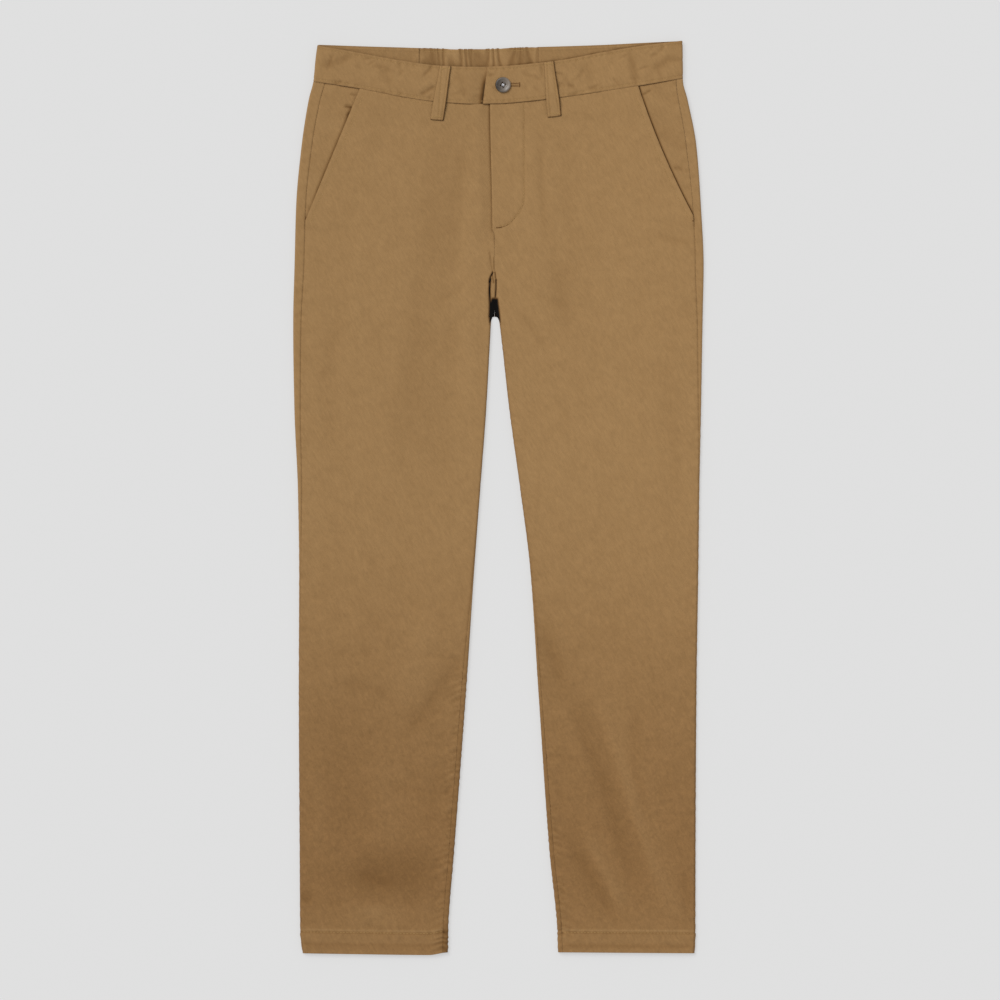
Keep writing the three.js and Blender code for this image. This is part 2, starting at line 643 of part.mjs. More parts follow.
/** Height of the elastic's gathers on the upper face of the back waistband. */
function gatherHeight(along) {
  const wave = along * ELASTIC.gathers;
  const astray = wave + ELASTIC.stray * Math.sin(wave * 2.3 + 0.7);
  const uneven = 0.7 + 0.3 * Math.sin(wave * 1.31 + 2);
  const ends = ease(0, 0.04, along) * ease(0, 0.04, 1 - along);
  const crest = uneven * ends * (0.5 - 0.5 * Math.cos(2 * Math.PI * astray));
  return ELASTIC.height * (crest - 0.5);
}

/** The elasticated middle of the waistband's back, gathered on its upper face. */
function backWaistband() {
  const from = ELASTIC.from + SEAM_GAP / 2;
  const to = ELASTIC.to - SEAM_GAP / 2;
  const grid = BAND_ROWS.map(({ up, thinner }) =>
    [0, ...steps(0, 1, ELASTIC.gathers * ELASTIC.steps)].map((along) => {
      const x = mix(from, to, along);
      const y = bandY(x, up, 1);
      const z = restHeight(y);
      const top = z + BAND_CLOTH + gatherHeight(along);
      return [new THREE.Vector3(x, y, z + thinner), new THREE.Vector3(x, y, top - thinner)];
    }),
  );
  return wall(grid);
}

/** A front belt loop, which lies on the waistband and reaches down onto the front. */
function frontLoop({ xTop, xFoot, topWidth, footWidth }) {
  const grid = [0, ...steps(0, 1, 9)].map((down) => {
    const xMiddle = mix(xTop, xFoot, down);
    const width = mix(topWidth, footWidth, ease(0, 0.8, down));
    return [-0.5, -0.36, 0, 0.36, 0.5].map((across) => {
      const x = xMiddle + across * width;
      const seam = frontSeam(x);
      const y = mix(frontTop(x) - SEAM_GAP, seam - LOOP_DROP, down);
      const onBand = ease(seam - 15, seam - 4, y);
      const level = mix(bodyTop(x, y), bandTop(x, Math.max(y, seam)), onBand);
      const z = level + LOOP_REST + LOOP_BOW * Math.sin(Math.PI * down);
      const thick = LOOP_CLOTH - (Math.abs(across) === 0.5 ? LOOP_EDGE : 0);
      return [new THREE.Vector3(x, y, z + thick), new THREE.Vector3(x, y, z)];
    });
  });
  return wall(grid);
}

/** A back belt loop, which lies flat under the back waistband. */
function backLoop({ x: middle }) {
  const grid = [0, ...steps(0, 1, 4)].map((down) =>
    [-0.5, 0, 0.5].map((across) => {
      const x = middle + across * BACK_LOOP_WIDTH;
      const y = mix(backTop(x) - SEAM_GAP, backSeam(x) - LOOP_DROP, down);
      return [new THREE.Vector3(x, y, 0), new THREE.Vector3(x, y, LOOP_CLOTH)];
    }),
  );
  return wall(grid);
}

/** A solid from a geometry whose corners are repeated. */
function solidOf(wasm, geometry) {
  geometry.deleteAttribute("normal");
  geometry.deleteAttribute("uv");
  const merged = mergeVertices(geometry, 1e-3);
  const kept = [];
  for (let i = 0; i < merged.index.count; i += 3) {
    const [a, b, c] = merged.index.array.slice(i, i + 3);
    if (a !== b && b !== c && c !== a) kept.push(a, b, c);
  }
  const vertProperties = merged.attributes.position.array;
  return new wasm.Manifold(new wasm.Mesh({ numProp: 3, vertProperties, triVerts: new Uint32Array(kept) }));
}

/** The waist button: a dished disc with a rounded rim and four holes. Its axis is Y. */
async function waistButton() {
  const wasm = await Module();
  wasm.setup();
  const { radius, thick, floor, hole, ring, turn, sides } = BUTTON;
  const profile = [
    [0, 0],
    [radius - 1.3, 0],
    [radius - 0.3, 0.6],
    [radius, 1.5],
    [radius - 0.4, 2.5],
    [radius - 1.3, thick],
    [radius - 2.3, thick - 0.2],
    [radius - 3.1, floor],
    [0, floor],
  ].map(([r, z]) => new THREE.Vector2(r, z));
  let disc = solidOf(wasm, new THREE.LatheGeometry(profile, sides));
  for (const quarter of [0, 1, 2, 3]) {
    const angle = turn + (quarter * Math.PI) / 2;
    const drill = new THREE.CylinderGeometry(hole, hole, 3 * thick, 12);
    drill.translate(ring * Math.cos(angle), 0, -ring * Math.sin(angle));
    disc = disc.subtract(solidOf(wasm, drill));
  }
  const { vertProperties, triVerts } = disc.getMesh();
  const geometry = new THREE.BufferGeometry();
  geometry.setAttribute("position", new THREE.BufferAttribute(vertProperties, 3));
  geometry.setIndex(new THREE.BufferAttribute(triVerts, 1));
  geometry.computeVertexNormals();
  return geometry;
}

/** A named mesh in cloth or another finish. */
function piece(name, geometry, color = SHADES.cloth, roughness = 0.9) {
  const mesh = new THREE.Mesh(geometry, new THREE.MeshStandardMaterial({ color, roughness, metalness: 0 }));
  mesh.name = name;
  return mesh;
}

const trousers = new THREE.Group();
for (const [name, leg] of [["right", rightLeg], ["left", leftLeg]]) {
  trousers.add(piece(`front_${name}`, frontPanel(leg)));
  trousers.add(piece(`back_${name}`, backPanel(leg)));
  trousers.add(piece(`pocket_facing_${name}`, pocketFacing(leg)));
}
trousers.add(piece("fly_zip", flyZip(), SHADES.zip));
trousers.add(piece("waistband_right", rightWaistband(), SHADES.inside));
trousers.add(piece("waistband_left", leftWaistband(), SHADES.inside));
trousers.add(piece("waistband_back", backWaistband(), SHADES.inside));
for (const loop of FRONT_LOOPS) trousers.add(piece(loop.name, frontLoop(loop)));
for (const loop of BACK_LOOPS) trousers.add(piece(loop.name, backLoop(loop)));

const button = piece("waist_button", await waistButton(), SHADES.button, 0.45);
button.rotation.x = Math.PI / 2;
button.position.set(BUTTON.x, BUTTON.y, bandTop(BUTTON.x, BUTTON.y) + SEAM_GAP);
trousers.add(button);

export default trousers;
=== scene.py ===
"""Chino trousers laid flat with the front up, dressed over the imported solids.

Sizes are in millimetres until a mesh is made. X runs towards the wearer's left, Y from the hems to
the waist, and Z up from the surface. Right and left are the wearer's.
"""
from __future__ import annotations

import logging
import math
from dataclasses import dataclass, field
from enum import Enum
from typing import Callable, Sequence

import bpy
import numpy as np
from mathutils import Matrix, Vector
from mathutils.bvhtree import BVHTree


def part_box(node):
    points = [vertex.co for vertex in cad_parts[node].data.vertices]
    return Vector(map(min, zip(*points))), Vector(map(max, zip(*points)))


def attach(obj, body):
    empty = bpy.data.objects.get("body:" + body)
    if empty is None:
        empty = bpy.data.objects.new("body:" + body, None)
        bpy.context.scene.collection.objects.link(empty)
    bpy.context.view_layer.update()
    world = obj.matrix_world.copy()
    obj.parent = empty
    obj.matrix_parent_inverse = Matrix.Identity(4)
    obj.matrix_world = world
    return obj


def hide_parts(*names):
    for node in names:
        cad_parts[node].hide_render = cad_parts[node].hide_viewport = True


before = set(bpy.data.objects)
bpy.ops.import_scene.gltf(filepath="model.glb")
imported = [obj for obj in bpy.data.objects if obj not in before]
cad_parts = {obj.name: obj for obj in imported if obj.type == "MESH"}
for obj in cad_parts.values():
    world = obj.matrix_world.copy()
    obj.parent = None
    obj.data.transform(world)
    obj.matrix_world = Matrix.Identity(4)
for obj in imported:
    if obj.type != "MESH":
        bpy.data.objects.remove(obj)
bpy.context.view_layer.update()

LOG = logging.getLogger("trousers")
MM = 0.001

# How the garment lies, as in the solids
EDGE_RADIUS = 2.6
QUARTER = EDGE_RADIUS * math.pi / 2
BODY_HEIGHT = 5.5
SETTLE = 18.0
SEAM_GAP = 0.08
LAP = 1.7
FACING_DIP = 0.9
SLANT_UNDERLAP = 22.0
CENTRE = -4.5
BACK_CENTRE_TOP = -22.5
BACK_TOP = 473.0
FORK = 214.0
BACK_FORK = 207.8  # the back shows behind the front's fork
FORK_ROLL = 16.0
DIP_DEPTH, DIP_WIDTH, DIP_TOP = 2.3, 5.0, 262.0
FLY_EDGE_TOP, FLY_EDGE_BOTTOM = -9.8, -7.2
FLY_TOP, FLY_END = 452.0, 309.0
FLY_BLEND, FLY_SETTLE, FLY_UNDERLAP = 9.0, 24.0, 6.0
FLY_SINK, FLY_SINK_FROM, FLY_SINK_TO = 1.8, 16.0, 1.0
HEM_LINE, HEM_DEPTH = -523.0, 23.0
WAIST_CURVE_FROM = 300.0
BACK_BAND_WIDTH = 42.5
BAND_RADIUS, BAND_HEIGHT, BAND_SWELL = 3.0, 6.2, 1.0
BAND_CLOTH = 2.0
BAND_SINK, BAND_SINK_FROM, BAND_SINK_TO = 2.4, 20.0, 2.0
LAP_EDGE_TOP, LAP_EDGE_BOTTOM, UNDERLAP_END = -12.9, -18.1, 30.0
ELASTIC_FROM, ELASTIC_TO, GATHERS = -91.0, 46.0, 13
LOOP_LIFT, LOOP_LIFT_FROM, LOOP_LIFT_TO = 1.3, 424.0, 450.0
LOOP_DROP = 20.0
CLOTH = 0.8  # the shells are nearer to the real cloth than the solids' walls
FOLD_LIMIT, FOLD_END = 1.5, 0.3

Array = np.ndarray


class Side(Enum):
    """The wearer's side of a piece: the sign of X there."""

    RIGHT = -1
    LEFT = 1


class Facing(Enum):
    """Which way a surface is reached by something sewn on it."""

    UP = 1
    DOWN = -1


@dataclass(frozen=True)
class Station:
    """One level of a leg: its edges, and how far in over them the side seam and inseam lie."""

    y: float
    outer: float
    inner: float
    side: float
    inseam: float


@dataclass(frozen=True)
class WaistPoint:
    """One place across the waist: the band's upper edges and the front's seam."""

    x: float
    front_top: float
    seam: float
    back_top: float


@dataclass(frozen=True)
class Mouth:
    """The slanted edge of a front pocket."""

    x_top: float
    y_top: float
    x_end: float
    y_end: float
    bow: float


@dataclass(frozen=True)
class Fold:
    """A large fold, which the solids have too. A trough's height is negative."""

    x0: float
    y0: float
    x1: float
    y1: float
    width: float
    height: float


@dataclass(frozen=True)
class Crease:
    """A smaller crease along a few points. A trough's height is negative."""

    points: tuple[tuple[float, float], ...]
    width: float
    height: float


@dataclass(frozen=True)
class Shade:
    """A patch of painted light, or painted shade where its strength is negative, where a broad fold lies in or out
    of the light.
    """

    x: float
    y: float
    width: float
    length: float
    strength: float
    power: int = 2


@dataclass(frozen=True)
class Crinkles:
    """A patch of small random crinkles, which washing leaves. Pairs are lowest and highest values."""

    seed: int
    count: int
    x: tuple[float, float]
    y: tuple[float, float]
    lean: tuple[float, float]  # degrees: the mean and the spread
    half: tuple[float, float]
    width: tuple[float, float]
    height: tuple[float, float]
    drift: float = 0.0  # how far the patch moves in X for each millimetre up

    def __call__(self, x: Array, y: Array) -> Array:
        """Gives the crinkles' height at each place.

        Args:
            x: places across the garment.
            y: places along the garment.

        Returns:
            The sum of their heights.
        """
        chance = np.random.default_rng(self.seed)
        total = np.zeros_like(x)
        for _ in range(self.count):
            cy = chance.uniform(*self.y)
            cx = chance.uniform(*self.x) + self.drift * (cy - self.y[0])
            lean = math.radians(chance.normal(*self.lean))
            half, width = chance.uniform(*self.half), chance.uniform(*self.width)
            height = chance.uniform(*self.height)
            along = (x - cx) * math.cos(lean) + (y - cy) * math.sin(lean)
            off = (y - cy) * math.cos(lean) - (x - cx) * math.sin(lean) + 0.012 * along**2
            total += height * np.exp(-((off / width) ** 2) - (along / half) ** 4)
        return total


RIGHT_STATIONS = (
    Station(-526, -224.5, -58.4, 2.2, 7.5),
    Station(-497, -228.0, -57.8, 2.2, 7.5),
    Station(-405, -228.6, -50.9, 2.2, 7.5),
    Station(-221, -229.6, -37.1, 2.2, 7.0),
    Station(-83, -229.2, -27.9, 3.2, 2.0),
    Station(9, -230.6, -21.0, 6.0, 0.5),
    Station(101, -234.6, -14.1, 8.4, 0.5),
    Station(193, -236.0, -9.0, 10.5, 0.5),
    Station(203, -236.0, -8.4, 10.7, 0.5),
    Station(FORK, -235.9, CENTRE, 11.0, 0.5),
    Station(266, -234.5, CENTRE, 12.4, 0.5),
    Station(336, -232.6, CENTRE, 12.6, 0.5),
    Station(405, -226.3, CENTRE, 13.4, 0.5),
    Station(457, -218.2, CENTRE, 14.8, 0.5),
    Station(480, -212.5, CENTRE, 15.3, 0.5),
    Station(503, -210.2, CENTRE, 15.3, 0.5),
    Station(526, -207.6, CENTRE, 15.3, 0.5),
)
LEFT_STATIONS = (
    Station(-526, 225.0, 68.7, 2.2, 6.5),
    Station(-497, 226.3, 67.6, 2.2, 6.5),
    Station(-405, 226.5, 58.4, 2.2, 6.5),
    Station(-221, 227.6, 45.7, 2.2, 5.0),
    Station(-83, 229.7, 36.5, 2.2, 1.5),
    Station(9, 230.9, 25.0, 2.2, 0.5),
    Station(101, 232.8, 12.4, 4.6, 0.5),
    Station(193, 234.4, 2.0, 7.2, 0.5),
    Station(203, 234.6, 0.6, 7.6, 0.5),
    Station(FORK, 234.8, CENTRE, 8.2, 0.5),
    Station(266, 235.8, CENTRE, 11.0, 0.5),
    Station(336, 232.6, CENTRE, 10.8, 0.5),
    Station(405, 227.4, CENTRE, 13.0, 0.5),
    Station(457, 217.4, CENTRE, 12.0, 0.5),
    Station(480, 211.9, CENTRE, 9.0, 0.5),
    Station(503, 211.6, CENTRE, 8.4, 0.5),
    Station(526, 211.3, CENTRE, 8.4, 0.5),
)
WAIST = (
    WaistPoint(-214, 520.6, 478.4, 520.8),
    WaistPoint(-160, 511.0, 470.1, 518.9),
    WaistPoint(-110, 501.9, 460.5, 517.4),
    WaistPoint(-70, 496.6, 454.9, 516.2),
    WaistPoint(-30, 495.0, 452.4, 515.5),
    WaistPoint(0, 495.6, 452.7, 516.4),
    WaistPoint(32, 498.1, 455.2, 517.6),
    WaistPoint(74, 503.1, 460.2, 518.8),
    WaistPoint(118, 511.5, 466.7, 520.3),
    WaistPoint(160, 518.6, 473.1, 522.4),
    WaistPoint(214, 525.4, 482.2, 525.0),
)
HEM_POINTS = (
    (-228, -523.4), (-150, -524.6), (-80, -525.4), (-58, -522.4),
    (68, -522.4), (150, -522.9), (226, -523.4),
)
RIGHT_MOUTH = Mouth(-159.5, 470.0, -222.5, 317.5, 0.0)
LEFT_MOUTH = Mouth(160.4, 473.5, 224.9, 322.0, 4.0)

FOLDS = (
    Fold(-50, 462, -60, 205, 20, -1.1),
    Fold(-57, 250, -80, -30, 24, -1.0),
    Fold(-104, 440, -118, 130, 30, 0.6),
    Fold(-24, 410, -32, 120, 15, 0.6),
    Fold(-72, -120, -104, -262, 26, 0.9),
    Fold(-30, -176, -112, -282, 12, -1.4),
    Fold(-196, -190, -160, -420, 32, -0.9),
    Fold(-132, -280, -128, -430, 24, 0.7),
    Fold(-222, -440, -58, -428, 17, -1.0),
    Fold(62, 455, 82, 170, 20, -1.0),
    Fold(33, 440, 50, 190, 17, 0.6),
    Fold(36, -110, 84, -250, 18, -1.0),
    Fold(112, -190, 180, -410, 18, 1.1),
    Fold(160, -340, 212, -505, 15, 0.9),
    Fold(84, -190, 176, -470, 15, -1.2),
    Fold(94, -370, 150, -480, 13, 1.0),
    Fold(76, -360, 130, -500, 13, -1.1),
)

# Creases of the two fronts
FRONT_CREASES = (
    Crease(((-106, -183), (-72, -182), (-40, -187)), 3.5, -0.6),
    Crease(((-38, -172), (-66, -214), (-93, -260)), 6.0, -0.35),
    Crease(((-43, -191), (-50, -199)), 2.4, -0.5),
    Crease(((-38, -231), (-48, -234)), 2.3, -0.5),
    Crease(((-51, -220), (-61, -226)), 2.6, -0.45),
    Crease(((-62, -240), (-76, -251)), 3.0, -0.45),
    Crease(((-58, -268), (-67, -274)), 2.4, -0.5),
    Crease(((-90, -254), (-100, -262)), 3.0, -0.4),
    Crease(((-192, -177), (-165, -181), (-140, -178)), 4.0, -0.45),
    Crease(((-187, -213), (-134, -222), (-120, -241)), 4.5, -0.6),
    Crease(((-161, -273), (-142, -276)), 4.5, -0.5),
    Crease(((-126, -334), (-80, -338)), 5.0, -0.55),
    Crease(((-166, -430), (-140, -440), (-114, -445)), 8.0, -0.8),
    Crease(((-228, -455), (-212, -467)), 5.0, -0.5),
    Crease(((-197, -465), (-176, -467)), 6.0, -0.6),
    Crease(((-111, -459), (-92, -470)), 6.0, -0.6),
    Crease(((-158, -476), (-130, -474)), 7.0, 0.6),
    Crease(((-60, -300), (-78, -352), (-74, -404)), 8.0, -0.5),
    Crease(((-210, -300), (-204, -362), (-212, -420)), 8.0, 0.45),
    Crease(((-38, 418), (-47, 352), (-56, 284)), 8.0, -0.25),
    Crease(((-33, 342), (-34, 200), (-36, 60)), 11.0, 0.5),
    Crease(((-67, 446), (-84, 300), (-100, 140), (-113, 0)), 16.0, -0.5),
    Crease(((-79, -141), (-113, -233)), 15.0, 0.5),
    Crease(((-150, 330), (-164, 230), (-158, 120)), 12.0, 0.35),
    Crease(((-186, 240), (-196, 140), (-190, 20)), 10.0, -0.35),
    Crease(((-24, 262), (-48, 236), (-82, 222)), 5.0, -0.4),
    Crease(((-18, 232), (-46, 202), (-70, 170)), 5.0, -0.35),
    Crease(((47, 440), (50, 360), (52, 284)), 3.5, -0.4),
    Crease(((56, 285), (67, 249), (84, 190)), 9.0, -0.35),
    Crease(((61, 430), (66, 330), (78, 250)), 8.0, 0.4),
    Crease(((10, 377), (30, 368)), 3.5, -0.4),
    Crease(((178, 303), (200, 296), (223, 292)), 4.5, -0.6),
    Crease(((160, 463), (182, 456)), 3.5, -0.5),
    Crease(((-181, 455), (-168, 454)), 3.0, -0.45),
    Crease(((-176, 444), (-163, 443)), 3.0, -0.4),
    Crease(((48, -141), (62, -182), (75, -222)), 8.0, -0.7),
    Crease(((75, -222), (121, -328), (143, -410), (167, -468)), 7.0, -0.75),
    Crease(((118, -240), (143, -311), (160, -373), (183, -435), (206, -481)), 7.0, 0.7),
    Crease(((158, -226), (156, -311), (178, -383)), 7.0, -0.7),
    Crease(((81, -396), (116, -447), (138, -496)), 6.5, -0.9),
    Crease(((98, -381), (132, -447), (150, -480)), 6.0, 0.6),
    Crease(((62, -293), (97, -306)), 3.5, -0.55),
    Crease(((96, -325), (122, -327)), 4.0, -0.45),
    Crease(((101, -347), (122, -349)), 4.0, -0.45),
    Crease(((104, -378), (134, -381)), 4.5, -0.55),
    Crease(((212, -424), (218, -455), (222, -488)), 7.0, -0.7),
    Crease(((190, 180), (202, 60), (196, -60)), 12.0, -0.35),
    Crease(((130, 300), (138, 160), (130, 20)), 16.0, 0.35),
    Crease(((22, 250), (52, 228), (84, 220)), 5.0, -0.4),
    Crease(((14, 224), (38, 196), (62, 160)), 5.0, -0.35),
    Crease(((-67, -496), (-56, -493)), 1.6, -0.7),
    Crease(((-67, -503), (-57, -499)), 1.6, -0.6),
    Crease(((-8.5, 282), (-10.0, 258)), 2.0, -0.4),
)
# Similar creases of the two backs. They lie on the surface, so all of them sink in.
BACK_CREASES = (
    Crease(((-30, 190), (-80, 232), (-130, 246)), 9.0, -0.5),
    Crease(((-26, 150), (-74, 178), (-120, 176)), 8.0, -0.4),
    Crease(((-160, 300), (-172, 180), (-166, 60)), 12.0, -0.4),
    Crease(((-60, -120), (-120, -176)), 7.0, -0.5),
    Crease(((-196, -210), (-140, -232)), 6.0, -0.45),
    Crease(((-180, -380), (-120, -430), (-80, -440)), 8.0, -0.5),
    Crease(((24, 190), (70, 228), (120, 240)), 9.0, -0.5),
    Crease(((30, 146), (84, 170)), 8.0, -0.4),
    Crease(((170, 280), (184, 150), (176, 30)), 12.0, -0.4),
    Crease(((66, -130), (118, -200), (150, -290)), 8.0, -0.5),
    Crease(((200, -260), (160, -350)), 7.0, -0.5),
    Crease(((96, -400), (140, -470)), 7.0, -0.5),
)
BAND_CREASES = (
    Crease(((-205, 493), (-186, 500), (-164, 509)), 4.0, -0.6),
    Crease(((-92, 462), (-82, 467), (-71, 474)), 2.2, -0.8),
    Crease(((-88, 482), (-81, 490), (-75, 499)), 2.2, -0.7),
    Crease(((-94, 468), (-84, 474), (-76, 480)), 3.0, 0.4),
    Crease(((-62, 470), (-54, 476), (-46, 484)), 3.0, -0.3),
    Crease(((-58, 462), (-48, 464), (-38, 470)), 2.6, -0.3),
    Crease(((60, 490), (66, 478), (70, 468)), 2.4, -0.5),
    Crease(((74, 484), (82, 474), (88, 470)), 2.4, -0.45),
    Crease(((100, 494), (92, 484), (84, 478)), 2.6, -0.4),
    Crease(((26, 492), (32, 486), (40, 482)), 2.4, -0.35),
    Crease(((-150, 496), (-132, 494), (-118, 488)), 3.0, -0.3),
    Crease(((150, 514), (155, 492), (160, 472)), 5.0, -0.65),
    Crease(((175, 491), (190, 500), (205, 509)), 5.0, -0.65),
    Crease(((-140, 502), (-128, 482), (-122, 470)), 6.0, -0.3),
    Crease(((96, 503), (104, 486), (108, 470)), 6.0, -0.3),
    Crease(((-46, 492), (-40, 474), (-34, 458)), 6.0, -0.3),
)
RIGHT_CRINKLES = (
    Crinkles(3, 240, (-224, -45), (-495, -110), (8, 40), (3, 11), (1.6, 2.8), (-0.42, 0.24)),
    Crinkles(4, 70, (-222, -20), (-130, 430), (0, 40), (5, 16), (2.4, 4.0), (-0.16, 0.08)),
    Crinkles(5, 90, (-84, -60), (-505, -165), (32, 18), (3, 8), (1.6, 2.4), (-0.75, 0.1), 0.065),
)
LEFT_CRINKLES = (
    Crinkles(6, 210, (60, 224), (-495, -110), (-24, 38), (3, 11), (1.6, 2.8), (-0.42, 0.24)),
    Crinkles(7, 60, (15, 222), (-130, 430), (0, 40), (5, 16), (2.4, 4.0), (-0.14, 0.08)),
    Crinkles(8, 70, (68, 90), (-505, -165), (-32, 18), (3, 8), (1.6, 2.4), (-0.7, 0.1), -0.075),
    Crinkles(9, 14, (180, 222), (-497, -478), (-35, 12), (6, 12), (1.8, 2.6), (-0.5, -0.2)),
    Crinkles(10, 12, (80, 150), (-497, -480), (-35, 12), (5, 10), (1.8, 2.6), (-0.4, -0.15)),
)
BAND_CRINKLES = (
    Crinkles(12, 76, (-208, -10), (458, 518), (20, 45), (3, 8), (1.3, 2.1), (-0.62, 0.3)),
    Crinkles(13, 76, (-10, 208), (458, 520), (-20, 45), (3, 8), (1.3, 2.1), (-0.62, 0.3)),
)
FACING_CREASES = (
    Crease(((-178, 451), (-167, 447.6)), 1.5, -1.3),
    Crease(((-173, 444), (-169, 434)), 3.4, -0.8),
    Crease(((-172, 464.5), (-162, 462.8)), 1.3, -0.9),
    Crease(((164, 462), (176, 469)), 1.3, -0.9),
    Crease(((200, 380), (213, 377)), 2.0, -0.6),
)
RIGHT_SHADES = (
    Shade(-119, -430, 48, 30, -0.3, 4),
    Shade(-222, -459, 10, 10, -0.3),
    Shade(-144, -482, 32, 13, 0.2, 4),
)
# Slits above the fork: their points, width and depth
FORK_SLITS = (
    (((-6.6, 259.0), (-9.4, 253.5), (-10.2, 248.0)), 0.9, 0.7),
    (((-9.6, 251.0), (-10.3, 238.0), (-9.6, 222.0), (-9.9, 208.0)), 1.1, 1.0),
    (((-7.2, 257.0), (-5.6, 247.0)), 0.8, 0.35),
    (((-4.0, 259.0), (-2.8, 250.0)), 0.7, 0.4),
    (((-2.8, 250.0), (-2.9, 240.0), (-3.5, 231.0)), 0.8, 0.65),
    (((-10.6, 282.0), (-7.0, 260.0)), 0.7, 0.2),
    (((-5.6, 276.0), (-5.2, 262.0)), 0.6, 0.25),
)
# The fly's topstitching on the left front, from the waistband down and round to the fly's end
FLY_STITCH = ((29.3, 452.0), (29.3, 346.0), (28.0, 337.0), (23.3, 327.5), (12.5, 315.2), (-4.0, 309.4))


def ease(a: float, b: float, value: Array | float) -> Array:
    """Eases from 0 at a to 1 at b."""
    t = np.clip((np.asarray(value, float) - a) / (b - a), 0.0, 1.0)
    return t * t * (3.0 - 2.0 * t)


def mix(a: Array | float, b: Array | float, share: Array | float) -> Array:
    """Blends from a to b."""
    return a + (b - a) * share


def bell(value: Array, at: Array | float, width: Array | float, power: int = 2) -> Array:
    """A smooth hump: 1 at a place, and dying away over a width on both sides of it."""
    return np.exp(-(((value - at) / width) ** power))


def wander(along: Array | float, seed: float) -> Array:
    """An uneven curve between about -1 and 1, the same at each run.

    Args:
        along: places along it, where one unit is about one swing.
        seed: sets one such curve apart from another.

    Returns:
        The curve's values there.
    """
    s = np.asarray(along, float)
    return (np.sin(1.7 * s + 2.1 * seed) + 0.7 * np.sin(3.1 * s + 5.3 * seed + 1.0)
            + 0.5 * np.sin(5.9 * s + 1.3 * seed + 2.0)) / 2.2


class Curve:
    """A smooth curve through a column of a table, which never overshoots its rows."""

    def __init__(self, at: Sequence[float], values: Sequence[float]) -> None:
        """Takes the places and the values there, in rising order.

        Args:
            at: the places, in rising order.
            values: the curve's values there.
        """
        self.at = np.asarray(at, float)
        self.values = np.asarray(values, float)
        rise = np.diff(self.values) / np.diff(self.at)
        before = np.concatenate((rise[:1], rise))
        after = np.concatenate((rise, rise[-1:]))
        same = before * after > 0
        total = np.where(same, before + after, 1.0)
        self.slope = np.where(same, 2.0 * before * after / total, 0.0)

    def __call__(self, where: Array | float) -> Array:
        """Gives the curve's value at each place.

        Args:
            where: places along the curve.

        Returns:
            The values there.
        """
        where = np.asarray(where, float)
        i = np.clip(np.searchsorted(self.at, where, side="right") - 1, 0, len(self.at) - 2)
        span = self.at[i + 1] - self.at[i]
        t = np.clip((where - self.at[i]) / span, 0.0, 1.0)
        ends = mix(self.values[i], self.values[i + 1], t * t * (3.0 - 2.0 * t))
        return ends + span * t * (1.0 - t) * (self.slope[i] * (1.0 - t) - self.slope[i + 1] * t)


front_top = Curve([p.x for p in WAIST], [p.front_top for p in WAIST])
front_seam = Curve([p.x for p in WAIST], [p.seam for p in WAIST])
back_top = Curve([p.x for p in WAIST], [p.back_top for p in WAIST])
hem_edge = Curve([x for x, _ in HEM_POINTS], [y for _, y in HEM_POINTS])


def back_seam(x: Array | float) -> Array:
    """Y of the back waistband's seam."""
    return back_top(x) - BACK_BAND_WIDTH


def fold_height(x: Array, y: Array) -> Array:
    """Height that the large folds add to the front, as in the solids.

    Args:
        x: places across the garment.
        y: places along the garment.

    Returns:
        The sum of their heights, held under a limit.
    """
    total = np.zeros_like(x)
    for fold in FOLDS:
        dx, dy = fold.x1 - fold.x0, fold.y1 - fold.y0
        t = ((x - fold.x0) * dx + (y - fold.y0) * dy) / (dx * dx + dy * dy)
        off = ((x - fold.x0) * dy - (y - fold.y0) * dx) / math.hypot(dx, dy)
        ends = ease(0, FOLD_END, t) * ease(0, FOLD_END, 1 - t)
        total += fold.height * np.exp(-((off / fold.width) ** 2)) * ends
    return FOLD_LIMIT * np.tanh(total / FOLD_LIMIT)


def crease_height(creases: Sequence[Crease], x: Array, y: Array) -> Array:
    """Height that the smaller creases add.

    Args:
        creases: the creases.
        x: places across the garment.
        y: places along it.

    Returns:
        The sum of their heights. Each one dies away at its ends and wavers along its length.
    """
    total = np.zeros_like(x)
    for number, crease in enumerate(creases):
        points = np.asarray(crease.points, float)
        lengths = np.hypot(*np.diff(points, axis=0).T)
        whole = lengths.sum()
        nearest = np.full_like(x, np.inf)
        along = np.zeros_like(x)
        done = 0.0
        for (ax, ay), (bx, by), length in zip(points[:-1], points[1:], lengths):
            t = np.clip(((x - ax) * (bx - ax) + (y - ay) * (by - ay)) / length**2, 0.0, 1.0)
            away = np.hypot(x - mix(ax, bx, t), y - mix(ay, by, t))
            closer = away < nearest
            nearest = np.where(closer, away, nearest)
            along = np.where(closer, (done + t * length) / whole, along)
            done += length
        ends = ease(0.0, 0.28, along) * ease(0.0, 0.28, 1.0 - along) + 0.15
        width = crease.width * (1.0 + 0.2 * wander(along * whole / 30.0, number))
        total += crease.height * np.exp(-((nearest / width) ** 2)) * ends
    return total


def puckers(away: Array, along: Array, pitch: float, reach: float, height: float, seed: float) -> Array:
    """Small waves that a seam draws into the cloth beside it.

    Args:
        away: distance from the seam.
        along: distance along it.
        pitch: mean distance from wave to wave.
        reach: how far from the seam they go.
        height: their height at the seam.
        seed: sets one seam's waves apart from another's.

    Returns:
        The waves' heights.
    """
    phase = (along + 0.4 * away) / pitch + 0.45 * wander(along / (2.2 * pitch), seed)
    uneven = 0.65 + 0.45 * wander(along / (3.3 * pitch), seed + 4.0)
    return height * uneven * np.sin(2 * math.pi * phase) * bell(away, 0, reach)


